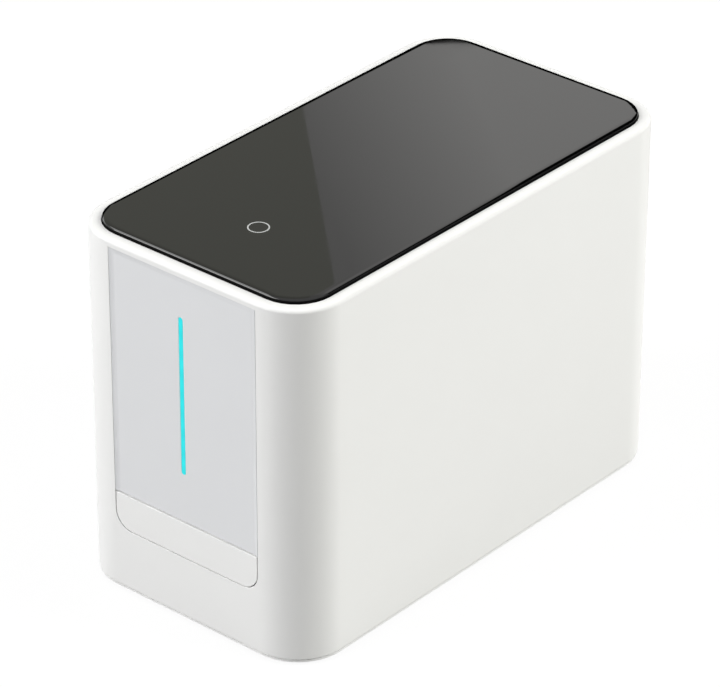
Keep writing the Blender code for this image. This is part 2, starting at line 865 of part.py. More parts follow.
def build_drive():
    loops = [gear_loop(gear_teeth, math.pi / 2), circle_loop(axle_radius + axle_fit, pin_steps)]
    gear = piece("drive_gear", flat(loops, gear_width, "X"), (gear_x, gear_y, gear_z), acetal)
    hollow_outer = gear_radius - root_depth_share * tooth_module - gear_rim_width
    hollow_depth = (gear_width - gear_web_thickness) / 2
    hollow = [circle_loop(hollow_outer), circle_loop(gear_hub_radius)]
    shift = gear_web_thickness / 2 + (hollow_depth + cut_overrun) / 2
    hollows = merged([
        (flat(hollow, hollow_depth + cut_overrun, "X"), (side * shift, 0, 0)) for side in (-1, 1)
    ])
    cut(gear, tool("gear_hollows", hollows, (gear_x, gear_y, gear_z)))

    axle_length = 2 * (bracket_outer + axle_end)
    piece("drive_axle", rod(axle_radius, axle_length, "X"), (gear_x, gear_y, gear_z), steel)

    pinion = piece(
        "motor_pinion",
        flat([gear_loop(pinion_teeth, mesh_phase())], gear_width, "X"),
        (gear_x, pinion_y, pinion_z),
        brass,
    )
    motor_face_x = gear_x - bracket_outer - seat_gap
    shaft_start = -gear_width / 2 + cut_overrun
    shaft_end = motor_face_x - gear_x - motor_bore_depth + motor_nose_length + seat_gap
    shaft = rod(shaft_radius, shaft_start - shaft_end, "X", pin_steps)
    join(pinion, tool("pinion_shaft", shaft, (gear_x + (shaft_start + shaft_end) / 2, pinion_y, pinion_z)))

    bore_radius = shaft_radius + seat_gap
    profile = [
        (0, motor_nose_length - motor_bore_depth),
        (bore_radius, motor_nose_length - motor_bore_depth),
        (bore_radius, motor_nose_length),
        (motor_nose_radius, motor_nose_length),
        (motor_nose_radius, 0),
        (motor_radius, 0),
        (motor_radius, -motor_length),
        (0, -motor_length),
    ]
    turned("drive_motor", profile, (motor_face_x, pinion_y, pinion_z), "X", steel)


def build_bracket():
    """A folded sheet channel that holds both ends of the axle and carries the motor on its inner side."""
    start_y = gear_y - bracket_margin
    end_y = pinion_y + bracket_margin
    top = bracket_height
    channel = [
        (-bracket_outer, 0),
        (bracket_outer, 0),
        (bracket_outer, top),
        (bracket_inner, top),
        (bracket_inner, bracket_sheet),
        (-bracket_inner, bracket_sheet),
        (-bracket_inner, top),
        (-bracket_outer, top),
    ]
    folded = flat([channel], end_y - start_y, "Y")
    bracket = piece("gear_bracket", folded, (gear_x, (start_y + end_y) / 2, floor_z), steel)
    reach = 2 * (bracket_outer + cut_overrun)
    nose_depth = bracket_sheet + 2 * cut_overrun
    axle_hole = rod(axle_radius + axle_fit, reach, "X")
    nose_hole = rod(motor_nose_radius + seat_gap, nose_depth, "X")
    cut(
        bracket,
        tool("axle_hole", axle_hole, (gear_x, gear_y, gear_z)),
        tool("nose_hole", nose_hole, (gear_x - bracket_inner - bracket_sheet / 2, pinion_y, pinion_z)),
    )


# Base plate, feet and screws


def screw_profile(margin, bottom):
    """The base screw, or the hole that takes it, which is larger by the margin and runs on downwards."""
    top = floor_z + screw_length - cut_overrun
    head_z = housing_bottom + seat_gap
    return [
        (0, top),
        (screw_radius + margin, top),
        (screw_radius + margin, head_z + screw_head_height),
        (screw_head_radius + margin, head_z),
        (screw_head_radius + margin, bottom),
        (0, bottom),
    ]


def build_base():
    base = piece(
        "base_plate",
        block(
            housing_width - 2 * wall - 2 * seat_gap,
            housing_length - 2 * wall - 2 * seat_gap,
            base_thickness,
            housing_corner_radius - wall - seat_gap,
            steps=corner_steps,
        ),
        (0, 0, housing_bottom + base_thickness / 2),
        dark_moulding,
    )
    standoff_height = board_stand - seat_gap + base_thickness / 2
    standoffs = merged([
        (
            rod(standoff_radius, standoff_height, "Z"),
            (x, board_y + y, base_top_z + board_stand - seat_gap - standoff_height / 2),
        )
        for x, y in corners(board_width / 2 - board_hole_inset, board_length / 2 - board_hole_inset)
    ])
    join(base, tool("standoffs", standoffs))

    foot_places = corners(housing_width / 2 - foot_inset_x, housing_length / 2 - foot_inset_y)
    sink_depth = foot_sink + cut_overrun
    sink_z = housing_bottom + foot_sink - sink_depth / 2
    sinks = merged([
        (rod(foot_radius + seat_gap, sink_depth, "Z", round_steps), (x, y, sink_z)) for x, y in foot_places
    ])
    slot_y = front_y + intake_from_front
    slots = flat([
        rounded_loop(
            intake_length, intake_width, intake_width / 2, (0, slot_y + intake_pitch * row), slot_steps
        )
        for row in range(intake_count)
    ], base_thickness + 2 * cut_overrun, "Z")
    middle = (0, 0, housing_bottom + base_thickness / 2)
    cut(base, tool("foot_sinks", sinks), tool("intake_slots", slots, middle))

    screw_places = corners(housing_width / 2 - boss_inset, housing_length / 2 - boss_inset)
    ends = ("front_left", "front_right", "rear_left", "rear_right")
    for end, (x, y) in zip(ends, screw_places):
        turned("base_screw_" + end, screw_profile(0, housing_bottom), (x, y, 0), "Z", steel, pin_steps)
        profile = screw_profile(seat_gap, housing_bottom - cut_overrun)
        hole = turned("screw_hole_" + end, profile, (x, y, 0), "Z", None, pin_steps, tools)
        cut(base, as_tool(hole))
    foot_height = foot_stand + foot_sink - seat_gap
    for end, (x, y) in zip(ends, foot_places):
        foot = rod(foot_radius, foot_height, "Z", round_steps)
        bevel_level(foot, -foot_height / 2, foot_chamfer, 1)
        piece("foot_" + end, foot, (x, y, foot_height / 2), black_rubber)


# Scan hood and its head plate


def build_hood():
    """Open at both ends: an upright collar, walls that draw in but for the rear one, and a top collar."""
    bm = bmesh.new()
    bmesh.ops.create_cube(bm, size=1, matrix=Matrix.Diagonal((hood_width, hood_length, hood_collar, 1)))
    bmesh.ops.translate(bm, verts=bm.verts, vec=(0, hood_length / 2, hood_collar / 2))
    caps = [f for f in bm.faces if abs(f.normal.z) > 1 / 2]
    bmesh.ops.delete(bm, geom=caps, context="FACES_ONLY")
    taper_height = hood_height - 2 * hood_collar
    for rise, narrow in ((taper_height, True), (hood_collar, False)):
        top = max(v.co.z for v in bm.verts)
        rim = [e for e in bm.edges if all(top - v.co.z < weld_distance for v in e.verts)]
        grown = bmesh.ops.extrude_edge_only(bm, edges=rim)["geom"]
        moved = [v for v in grown if isinstance(v, bmesh.types.BMVert)]
        bmesh.ops.translate(bm, verts=moved, vec=(0, 0, rise))
        for vert in moved if narrow else []:
            vert.co.x *= hood_top_width / hood_width
            vert.co.y = hood_length + (vert.co.y - hood_length) * hood_top_length / hood_length
    bmesh.ops.recalc_face_normals(bm, faces=bm.faces)
    hood = piece("scan_hood", bm, (0, hood_front_y, hood_bottom_z), dark_moulding)
    shell = hood.modifiers.new("wall", "SOLIDIFY")
    shell.thickness = hood_wall
    shell.offset = -1
    shell.use_even_offset = True
    hole = rod(filter_radius + seat_gap, hood_wall + 2 * cut_overrun, "Y", round_steps)
    cut(hood, tool("filter_hole", hole, (0, hood_rear_y - hood_wall / 2, detector_z)))


def build_head_plate():
    x = -head_shift
    y = mirror_y + head_length / 2 - mirror_pair_span / 2
    outer = rounded_loop(head_width, head_length, laser_radius)
    beam = rounded_loop(beam_hole_width, beam_hole_length, laser_radius, (-x, mirror_y - y))
    sleeve = circle_loop(galvo_radius + seat_gap, centre=(-mirror_pair_span - x, mirror_y - y))
    plate = flat([outer, beam, sleeve], head_thickness, "Z")
    piece("head_plate", plate, (x, y, head_z + head_thickness / 2), aluminium)


# Laser, galvanometers and mirrors


def galvo_profile(collar):
    bore_radius = mirror_shaft_radius + seat_gap
    body = [(0, -galvo_bore_depth), (bore_radius, -galvo_bore_depth), (bore_radius, 0)]
    if collar:
        body += [(galvo_collar_radius, 0), (galvo_collar_radius, -galvo_collar_height)]
        body += [(galvo_radius, -galvo_collar_height)]
    else:
        body += [(galvo_radius, 0)]
    return body + [(galvo_radius, -galvo_length), (0, -galvo_length)]


def build_cradle(name, x, y, radius):
    """A block on the head plate with a round seat along Y for a body of that radius."""
    foot_z = head_top_z + seat_gap
    height = beam_z - foot_z
    mount = piece(name, block(mount_width, mount_length, height), (x, y, foot_z + height / 2), aluminium)
    seat = rod(radius + seat_gap, mount_length + 2 * cut_overrun, "Y", round_steps)
    cut(mount, tool(name + "_seat", seat, (x, y, beam_z)))


def swing_mirror(name, location, shaft_axis, turn):
    """A mirror with its shaft; the shaft runs back along the axis, and its glass faces the turned way."""
    glass = block(mirror_width, mirror_thickness, mirror_height)
    shaft_length = mirror_shaft_length + mirror_height / 2
    shaft = rod(mirror_shaft_radius, shaft_length, "Z")
    tilt = Matrix.Rotation(turn, 4, "Z")
    lay = FACING[shaft_axis]
    glass.transform(lay @ tilt)
    mirror = piece(name, glass, location, mirror_silver)
    shaft.transform(lay @ Matrix.Translation((0, 0, -shaft_length / 2)))
    join(mirror, tool(name + "_shaft", shaft, location))


def build_scan_head():
    side_x = -mirror_pair_span
    sleeve_top_z = head_top_z + galvo_collar_height + seat_gap
    turned("galvo_x", galvo_profile(True), (side_x, mirror_y, sleeve_top_z), "Z", steel)
    swing_mirror("scan_mirror_x", (side_x, mirror_y, beam_z), "Z", math.radians(-45))

    gap_to_bore = mirror_height / 2 + mirror_shaft_length - galvo_bore_depth + seat_gap
    galvo_y = mirror_y + gap_to_bore
    turned("galvo_y", galvo_profile(False), (0, galvo_y, beam_z), "Y", steel)
    swing_mirror("scan_mirror_y", (0, mirror_y, beam_z), "Y", math.radians(45))
    build_cradle("galvo_mount", 0, galvo_y + galvo_length / 2, galvo_radius)

    laser_y = mirror_y + laser_distance
    profile = [
        (0, -laser_lens_depth),
        (laser_lens_radius, -laser_lens_depth),
        (laser_lens_radius, 0),
        (laser_radius, 0),
        (laser_radius, -laser_length),
        (0, -laser_length),
    ]
    turned("laser_module", profile, (side_x, laser_y, beam_z), "Y", brass)
    build_cradle("laser_mount", side_x, laser_y + laser_length / 2, laser_radius)


# Light detector and eraser lamps


def build_detector():
    lens = rod(filter_radius, hood_wall, "Y", round_steps)
    piece("light_filter", lens, (0, hood_rear_y - hood_wall / 2, detector_z), blue_filter)
    profile = [
        (0, 0),
        (detector_radius, 0),
        (detector_radius, detector_collar_length - detector_length),
        (detector_radius + detector_collar, detector_collar_length - detector_length),
        (detector_radius + detector_collar, -detector_length),
        (0, -detector_length),
    ]
    turned("photomultiplier", profile, (0, hood_rear_y + seat_gap, detector_z), "Y", aluminium)

    stand_height = detector_z - floor_z
    stand = piece(
        "detector_stand",
        block(stand_width, stand_thickness, stand_height),
        (0, stand_y, floor_z + stand_height / 2),
        dark_moulding,
    )
    seat = rod(detector_radius + seat_gap, stand_thickness + 2 * cut_overrun, "Y", round_steps)
    cut(stand, tool("detector_seat", seat, (0, stand_y, detector_z)))


def build_erasers():
    taper_height = hood_height - 2 * hood_collar
    lean = math.atan2((hood_width - hood_top_width) / 2, taper_height)
    along = taper_height / math.cos(lean) * eraser_rise_share
    inward = hood_wall + seat_gap + circuit_thickness / 2
    x = hood_width / 2 - along * math.sin(lean) - inward * math.cos(lean)
    z = hood_bottom_z + hood_collar + along * math.cos(lean) - inward * math.sin(lean)
    for name, side in (("eraser_lamp_left", -1), ("eraser_lamp_right", 1)):
        board = block(circuit_thickness, eraser_length, eraser_height)
        board.transform(Matrix.Rotation(-side * lean, 4, "Y"))
        piece(name, board, (side * x, hood_rear_y - hood_wall - seat_gap - eraser_length / 2, z), circuit)


# Main board, sockets, switch and rear panel


def build_main_board():
    half = board_thickness / 2
    sheet = block(board_width, board_length, board_thickness)
    board = piece("main_board", sheet, (0, board_y, board_z + half), circuit)
    sunk = chip_height / 2
    column_x = board_width / 2 - chip_size
    header_y = board_front_y + header_length
    chips_y = header_y + header_length / 2 + chip_gap + chip_size / 2
    chips = merged([
        (
            block(chip_size, chip_size, chip_height + sunk),
            (column_x, chips_y + row * (chip_size + chip_gap), board_top_z + (chip_height - sunk) / 2),
        )
        for row in (0, 1)
    ])
    header = block(header_width, header_length, header_height + sunk)
    header_at = (column_x, header_y, board_top_z + (header_height - sunk) / 2)
    chips_tool = tool("board_chips", chips)
    join(board, chips_tool, tool("board_header", header, header_at))
    supply = block(supply_width, supply_length, supply_height, supply_corner_radius)
    supply_at = (
        -board_width / 2 + supply_width / 2 + supply_corner_radius,
        board_front_y + supply_length / 2 + supply_corner_radius,
        board_top_z + seat_gap + supply_height / 2,
    )
    piece("high_voltage_supply", supply, supply_at, aluminium)


def build_usb_port():
    z = board_top_z + seat_gap + usb_height / 2
    middle_y = rear_panel_y - usb_depth / 2
    outer = flat([rounded_loop(usb_width, usb_height, usb_height / 2)], usb_depth, "Y")
    port = piece("usb_port", outer, (usb_x, middle_y, z), steel)
    inner_height = usb_height - 2 * usb_shell
    hole_depth = usb_depth - usb_back + cut_overrun
    hole = flat([rounded_loop(usb_width - 2 * usb_shell, inner_height, inner_height / 2)], hole_depth, "Y")
    hole_y = rear_panel_y + cut_overrun - hole_depth / 2
    cut(port, tool("usb_hole", hole, (usb_x, hole_y, z)))
    tongue_depth = usb_depth - usb_back
    tongue = block(usb_tongue_width, tongue_depth, usb_tongue_thickness)
    tongue_y = rear_panel_y - usb_back - tongue_depth / 2 + usb_back / 2
    join(port, tool("usb_tongue", tongue, (usb_x, tongue_y, z)))


def build_power_inlet():
    z = board_top_z + seat_gap + inlet_height / 2
    body = block(inlet_width, inlet_depth, inlet_height, inlet_corner_radius, axis=1)
    inlet = piece("power_inlet", body, (inlet_x, rear_panel_y - inlet_depth / 2, z), dark_moulding)
    hole_depth = inlet_hole_depth + cut_overrun
    hole = rod(inlet_hole_radius, hole_depth, "Y", round_steps)
    cut(inlet, tool("inlet_hole", hole, (inlet_x, rear_panel_y + cut_overrun - hole_depth / 2, z)))
    pin_start = rear_panel_y - inlet_pin_set_back
    pin_end = rear_panel_y - (inlet_hole_depth + inlet_depth) / 2
    pin = rod(inlet_pin_radius, pin_start - pin_end, "Y")
    join(inlet, tool("inlet_pin", pin, (inlet_x, (pin_start + pin_end) / 2, z)))


def build_rear_panel():
    bottom = floor_z
    top = rear_window_z() + rear_window_height / 2 + flange_reach
    width = rear_window_width + 2 * flange_reach
    usb_z = board_top_z + seat_gap + usb_height / 2
    inlet_z = board_top_z + seat_gap + inlet_height / 2
    loops = [
        rounded_loop(width, top - bottom, rear_corner_radius, (0, (top + bottom) / 2)),
        rounded_loop(
            usb_width + 2 * seat_gap, usb_height + 2 * seat_gap, usb_height / 2, (usb_x, usb_z)
        ),
        rounded_loop(
            inlet_width + 2 * seat_gap, inlet_height + 2 * seat_gap, inlet_corner_radius, (inlet_x, inlet_z)
        ),
        rounded_loop(
            switch_body_width + 2 * seat_gap,
            switch_body_height + 2 * seat_gap,
            switch_corner_radius,
            (switch_x, switch_height),
        ),
    ]
    panel = flat(loops, rear_panel_thickness, "Y")
    piece("rear_panel", panel, (0, rear_panel_y - rear_panel_thickness / 2, 0), dark_moulding)


def rocker_loop():
    """The rocker from above: ends round about its pin, a shallow V in front, flat behind."""
    back_angle = math.asin(rocker_depth / rocker_radius)
    right = arc((0, 0), rocker_radius, -back_angle, rocker_end_angle, small_steps)
    left = arc((0, 0), rocker_radius, math.pi - rocker_end_angle, math.pi + back_angle, small_steps)
    return right + [(0, rocker_notch)] + left


def build_switch():
    centre = (switch_x, switch_y, switch_height)
    flange_height = switch_body_height + 2 * switch_flange_reach
    flange = block(
        switch_flange_width, switch_flange_thickness, flange_height, switch_corner_radius, axis=1
    )
    flange_at = (centre[0], switch_y - switch_flange_thickness / 2, centre[2])
    frame = piece("switch_frame", flange, flange_at, dark_moulding)
    body_depth = switch_body_depth + switch_flange_thickness / 2
    body_y = switch_y - switch_flange_thickness / 2 - body_depth / 2
    body = block(switch_body_width, body_depth, switch_body_height)
    join(frame, tool("switch_body", body, (centre[0], body_y, centre[2])))
    cavity_depth = switch_body_depth - wall + cut_overrun
    cavity = block(2 * (rocker_radius + seat_gap), cavity_depth, rocker_height + 2 * seat_gap)
    cavity_y = switch_y + cut_overrun - cavity_depth / 2
    pin_hole = rod(rocker_pin_radius + seat_gap, rocker_height + 2 * (rocker_pin_reach + 2 * seat_gap), "Z")
    cut(
        frame,
        tool("switch_cavity", cavity, (centre[0], cavity_y, centre[2])),
        tool("switch_pin_hole", pin_hole, (centre[0], rocker_y, centre[2])),
    )

    pivot = (centre[0], rocker_y, centre[2])
    rocker = piece("switch_rocker", flat([rocker_loop()], rocker_height, "Z"), pivot, dark_moulding)
    pin = rod(rocker_pin_radius, rocker_height + 2 * rocker_pin_reach, "Z")
    join(rocker, tool("rocker_pin", pin, pivot))
    rocker.rotation_euler.z = -rocker_tilt


# Fan


def build_fan():
    centre = (0, inner_rear_y - seat_gap - fan_thickness / 2, fan_z)
    loops = [rounded_loop(fan_size, fan_size, fan_corner_radius), circle_loop(fan_bore_radius)]
    frame = piece("fan_frame", flat(loops, fan_thickness, "Y"), centre, dark_moulding)
    seat_y = centre[1] - fan_thickness / 2 + fan_seat_thickness / 2
    struts = []
    for strut in range(fan_strut_count):
        arm = block(fan_bore_radius + blade_tip_gap, fan_seat_thickness, fan_strut_width)
        arm.transform(Matrix.Translation(((fan_bore_radius + blade_tip_gap) / 2, 0, 0)))
        struts.append((arm, Matrix.Rotation(2 * math.pi * strut / fan_strut_count, 4, "Y")))
    seat = rod(fan_hub_radius, fan_seat_thickness, "Y", round_steps)
    join(frame, tool("fan_seat", seat, (0, seat_y, fan_z)))
    for number, (arm, turn) in enumerate(struts):
        arm.transform(turn)
        join(frame, tool("fan_strut_" + str(number), arm, (0, seat_y, fan_z)))

    rotor_y = centre[1] - fan_thickness / 2 + fan_seat_thickness + seat_gap + fan_hub_length / 2
    hub = rod(fan_hub_radius, fan_hub_length, "Y", round_steps)
    rotor = piece("fan_rotor", hub, (0, rotor_y, fan_z), dark_moulding)
    reach = fan_bore_radius - blade_tip_gap - fan_hub_radius
    blades = []
    for blade in range(blade_count):
        vane = block(reach + blade_tip_gap, blade_thickness, blade_chord)
        vane.transform(Matrix.Rotation(blade_pitch, 4, "X"))
        vane.transform(Matrix.Translation((fan_hub_radius + (reach - blade_tip_gap) / 2, 0, 0)))
        blades.append((vane, Matrix.Rotation(2 * math.pi * blade / blade_count, 4, "Y")))
    join(rotor, tool("fan_blades", merged(blades), (0, rotor_y, fan_z)))


build_housing()
build_glass()
build_front_panel()
build_tray()
build_rail("rail_left", -1)
build_rail("rail_right", 1)
build_drive()
build_bracket()
build_base()
build_hood()
build_head_plate()
build_scan_head()
build_detector()
build_erasers()
build_main_board()
build_usb_port()
build_power_inlet()
build_rear_panel()
build_switch()
build_fan()
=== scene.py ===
# %% [markdown]
# A phosphor plate scanner stands on a desk in a clinic. A small imaging plate lies in the tray, the tray
# draws in under a laser, and light that the plate gives back is read inside. This lesson dresses the
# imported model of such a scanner: it rounds the edges, prints the touch ring, gives every piece the finish
# of its real material, and lights the whole on a pale studio floor.
#
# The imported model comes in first, as a fixed frame. Every later piece takes its place from it, so the
# looks and the mechanism can never drift apart.

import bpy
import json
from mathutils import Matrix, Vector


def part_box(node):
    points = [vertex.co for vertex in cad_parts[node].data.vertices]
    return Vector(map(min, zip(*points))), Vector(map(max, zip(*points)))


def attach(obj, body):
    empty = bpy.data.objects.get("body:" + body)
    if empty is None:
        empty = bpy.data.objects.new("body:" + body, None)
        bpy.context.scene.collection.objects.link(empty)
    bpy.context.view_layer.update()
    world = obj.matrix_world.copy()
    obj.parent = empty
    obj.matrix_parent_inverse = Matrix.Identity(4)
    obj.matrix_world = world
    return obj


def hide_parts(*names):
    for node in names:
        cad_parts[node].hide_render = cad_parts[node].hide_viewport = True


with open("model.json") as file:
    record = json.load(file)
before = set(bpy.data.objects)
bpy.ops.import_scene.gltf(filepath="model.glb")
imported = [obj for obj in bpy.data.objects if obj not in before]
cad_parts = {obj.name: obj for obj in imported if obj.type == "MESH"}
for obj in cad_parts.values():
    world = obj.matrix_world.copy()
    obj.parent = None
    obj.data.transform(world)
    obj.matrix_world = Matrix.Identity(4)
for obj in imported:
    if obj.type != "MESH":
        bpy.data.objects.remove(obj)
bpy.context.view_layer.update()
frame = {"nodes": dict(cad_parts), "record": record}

# %% [markdown]
# A camera with a long lens stands well back, to the right of the front and 30 degrees up. A long lens
# keeps the upright edges nearly parallel, as product photographs do. The camera is aimed from given
# numbers: a point to look at, two angles and a distance are easier to think in than three rotations. The
# lamps and cards below are placed with the same two angles, so a small function turns them into a
# direction.

# %% Place the camera
import math

import bpy
from mathutils import Matrix, Vector

MM = 0.001
LOOK_AT = Vector((-2.1, -6.1, 72.0)) * MM
AZIMUTH, ELEVATION, ROLL = 40.535, 30.0, 0.146
CAMERA_DISTANCE = 1565.3 * MM
LENS_MM = 214.5
FAR_CLIP = 100


def direction(azimuth, elevation):
    """The way to a place at these angles in degrees. Azimuth 0 is in front of the scanner."""
    azimuth, elevation = math.radians(azimuth), math.radians(elevation)
    return Vector((
        math.sin(azimuth) * math.cos(elevation),
        -math.cos(azimuth) * math.cos(elevation),
        math.sin(elevation),
    ))


towards_camera = direction(AZIMUTH, ELEVATION)
camera = bpy.data.objects.new("camera", bpy.data.cameras.new("camera"))
camera.data.lens = LENS_MM
camera.data.clip_end = FAR_CLIP
camera.location = LOOK_AT + CAMERA_DISTANCE * towards_camera
turn = (-towards_camera).to_track_quat("-Z", "Y").to_matrix().to_4x4()
camera.rotation_euler = (turn @ Matrix.Rotation(math.radians(ROLL), 4, "Z")).to_euler()
bpy.context.scene.collection.objects.link(camera)
bpy.context.scene.camera = camera
print("camera at", [round(c, 3) for c in camera.location])

# %% [markdown]
# Materials are made from nodes. Colours are written as the hex codes that a picture editor shows, and
# shaders want linear light, so one function turns the one into the other. A second function adds a node
# with its settings and its links in one call, which keeps each material short enough to read at a glance.
# A Mix node has sockets of the same name for each kind of data, so they are given by their number: 0 is
# the factor, 2 and 3 are numbers, 6 and 7 are colours, and the outputs 0 and 2 are a number and a colour.

# %% Two helpers for materials


def linear(code):
    """An sRGB hex colour as linear red, green, blue and alpha."""
    shown = [int(code[start : start + 2], 16) / 255 for start in (1, 3, 5)]
    return (*[c / 12.92 if c <= 0.04045 else ((c + 0.055) / 1.055) ** 2.4 for c in shown], 1.0)


def add_node(tree, kind, settings=None, links=None):
    """Adds a node. A setting is a property or an input, and a link joins an output to an input."""
    node = tree.nodes.new(kind)
    for name, value in (settings or {}).items():
        if isinstance(name, int) or name in node.inputs:
            node.inputs[name].default_value = value
        else:
            setattr(node, name, value)
    for name, source in (links or {}).items():
        tree.links.new(source, node.inputs[name])
    return node


print("white as linear light:", [round(c, 3) for c in linear("#E9E9E5")])

# %% [markdown]
# No real surface has one flat colour. A moulding is cloudy over a few centimetres, its texture is a fine
# grain, and its edges are rubbed. So most finishes here share one recipe: a slow noise blends two shades,
# a fine noise becomes a bump, the same fine noise makes the gloss uneven, and a third noise rubs the edges.
# The recipe reads the "worn_edge" attribute that the rounded edges carry, which a later cell paints.
#
# Every size in the recipe is in millimetres of the real thing, and a noise of scale 1 repeats about every
# metre, so the scale is one divided by the size in metres. Each finish below gives its name, its two
# shades, its lowest and highest roughness, and the size and depth of its grain. Nearly all of a noise lies
# between 0.3 and 0.7, so that is the range from which the roughness is mapped.

# %% The recipe that the finishes share
CLOUD_SIZE, RUB_SIZE = 28 * MM, 3 * MM
NOISE_LOW, NOISE_HIGH = 0.3, 0.7
RUB_STARTS, RUB_FULL = 0.42, 0.62


def finish(
    name, colour, shade, roughness, grain_mm, depth_mm, worn=None, stretch=(1, 1, 1), **shader_inputs
):
    """A material of two blended shades with a fine relief, uneven gloss and rubbed edges."""
    material = bpy.data.materials.new(name)
    material.use_nodes = True
    tree = material.node_tree
    shader = tree.nodes["Principled BSDF"]
    where = add_node(tree, "ShaderNodeTexCoord").outputs["Object"]
    laid = add_node(tree, "ShaderNodeMapping", {"Scale": stretch}, {"Vector": where}).outputs["Vector"]
    cloud = add_node(
        tree, "ShaderNodeTexNoise", {"Scale": 1 / CLOUD_SIZE, "Detail": 2.0}, {"Vector": where}
    )
    grain = add_node(
        tree, "ShaderNodeTexNoise", {"Scale": 1 / (grain_mm * MM), "Detail": 3.0}, {"Vector": laid}
    )
    shades = {"data_type": "RGBA", 6: linear(colour), 7: linear(shade)}
    tone = add_node(tree, "ShaderNodeMix", shades, {0: cloud.outputs[0]}).outputs[2]
    if worn:
        edge = add_node(tree, "ShaderNodeAttribute", {"attribute_name": "worn_edge"}).outputs["Fac"]
        rub = add_node(
            tree, "ShaderNodeTexNoise", {"Scale": 1 / RUB_SIZE, "Detail": 4.0}, {"Vector": where}
        )
        patchy = add_node(
            tree, "ShaderNodeMapRange", {"From Min": RUB_STARTS, "From Max": RUB_FULL},
            {"Value": rub.outputs[0]},
        ).outputs[0]
        rubbed = add_node(
            tree, "ShaderNodeMath", {"operation": "MULTIPLY"}, {0: edge, 1: patchy}
        ).outputs[0]
        tone = add_node(
            tree, "ShaderNodeMix", {"data_type": "RGBA", 7: linear(worn)}, {0: rubbed, 6: tone}
        ).outputs[2]
    lowest, highest = roughness
    gloss = add_node(
        tree, "ShaderNodeMapRange",
        {"From Min": NOISE_LOW, "From Max": NOISE_HIGH, "To Min": lowest, "To Max": highest},
        {"Value": grain.outputs[0]},
    ).outputs[0]
    relief = add_node(
        tree, "ShaderNodeBump", {"Strength": 1.0, "Distance": depth_mm * MM}, {"Height": grain.outputs[0]}
    ).outputs[0]
    tree.links.new(tone, shader.inputs["Base Color"])
    tree.links.new(gloss, shader.inputs["Roughness"])
    tree.links.new(relief, shader.inputs["Normal"])
    for socket, value in shader_inputs.items():
        shader.inputs[socket.replace("_", " ")].default_value = value
    return material


# %% [markdown]
# The housing and the front of the tray are ABS, moulded in a steel tool whose walls were eroded by sparks.
# That leaves an even matt grain of about a tenth of a millimetre, which takes the shine off the flat sides
# and lets light roll softly round the corners. The grain is drawn three times coarser, because a real one
# is smaller than a pixel at this distance. Handling polishes the edges a little.

# %% White housing
white_abs = finish(
    "moulded_abs_matt_white", "#EBEBEA", "#E9E9E8", (0.46, 0.58), 0.35, 0.0012, worn="#EFEFEE", IOR=1.53
)
print(white_abs.name)

# %% [markdown]
# The grey panel is polycarbonate with a satin lacquer. Lacquer fills the finest grain of the moulding, so
# the panel is smoother than the housing, a touch cooler in colour, and shows a broad dull sheen.

# %% Grey front panel
grey_polycarbonate = finish(
    "lacquered_polycarbonate_satin_grey", "#DBDCDE", "#D9DADC", (0.36, 0.42), 0.25, 0.0006, worn="#DFE0E2",
    IOR=1.58,
)
print(grey_polycarbonate.name)

# %% [markdown]
# The top is float glass, printed black on its underside and polished on its face. To the eye it is a black
# mirror: almost no colour of its own, and a clear reflection that grows stronger at a flat angle. Only
# faint wipe marks and a little dust break it. Its cut edge was ground and painted, so it stays dull black.

# %% Black glass and its ground edge
black_glass = finish(
    "back_printed_float_glass", "#030303", "#050505", (0.01, 0.03), 9.0, 0.0, stretch=(1, 0.35, 1), IOR=1.52
)
ground_edge = finish(
    "ground_glass_edge_black_paint", "#050505", "#080808", (0.6, 0.8), 0.3, 0.002, Specular_IOR_Level=0.05
)
print(black_glass.name, ground_edge.name)

# %% [markdown]
# The status bar is opal acrylic with a strip of cyan diodes behind it. Opal plastic spreads the light, so
# the bar glows nearly evenly, with a faint swell where each diode sits. The swell is a wave along the bar
# with a pitch of 8 mm, and the glow is emission that adds to the plastic's own colour.

# %% Status bar
DIODE_PITCH = 8 * MM
GLOW_BETWEEN, GLOW_AT_DIODE = "#00D6DA", "#00E2E5"


def opal_acrylic():
    """Opal plastic whose glow swells and fades along the bar."""
    material = finish(
        "opal_acrylic_lit_cyan", "#009EA4", "#00969C", (0.3, 0.4), 0.8, 0.001,
        IOR=1.49, Emission_Strength=0.62,
    )
    tree = material.node_tree
    where = add_node(tree, "ShaderNodeTexCoord").outputs["Object"]
    height = add_node(tree, "ShaderNodeSeparateXYZ", links={"Vector": where}).outputs["Z"]
    phase = add_node(
        tree, "ShaderNodeMath", {"operation": "MULTIPLY", 1: 2 * math.pi / DIODE_PITCH}, {0: height}
    ).outputs[0]
    swell = add_node(tree, "ShaderNodeMath", {"operation": "SINE"}, {0: phase}).outputs[0]
    share = add_node(tree, "ShaderNodeMapRange", {"From Min": -1.0, "From Max": 1.0}, {"Value": swell})
    shades = {"data_type": "RGBA", 6: linear(GLOW_BETWEEN), 7: linear(GLOW_AT_DIODE)}
    glow = add_node(tree, "ShaderNodeMix", shades, {0: share.outputs[0]}).outputs[2]
    tree.links.new(glow, tree.nodes["Principled BSDF"].inputs["Emission Color"])
    return material


lit_cyan = opal_acrylic()
print(lit_cyan.name, "diode pitch in mm:", DIODE_PITCH / MM)

# %% [markdown]
# What stays out of sight is black ABS: the tray, the base, the hood and the rear panel. The fan is nylon
# filled with short glass fibre, which leaves a faint streak in the flow direction. The rocker and the
# inlet come from a polished tool and shine. The feet are silicone rubber, the dullest black of them all,
# and the tape under the glass is foam, with cells that the bump shows.

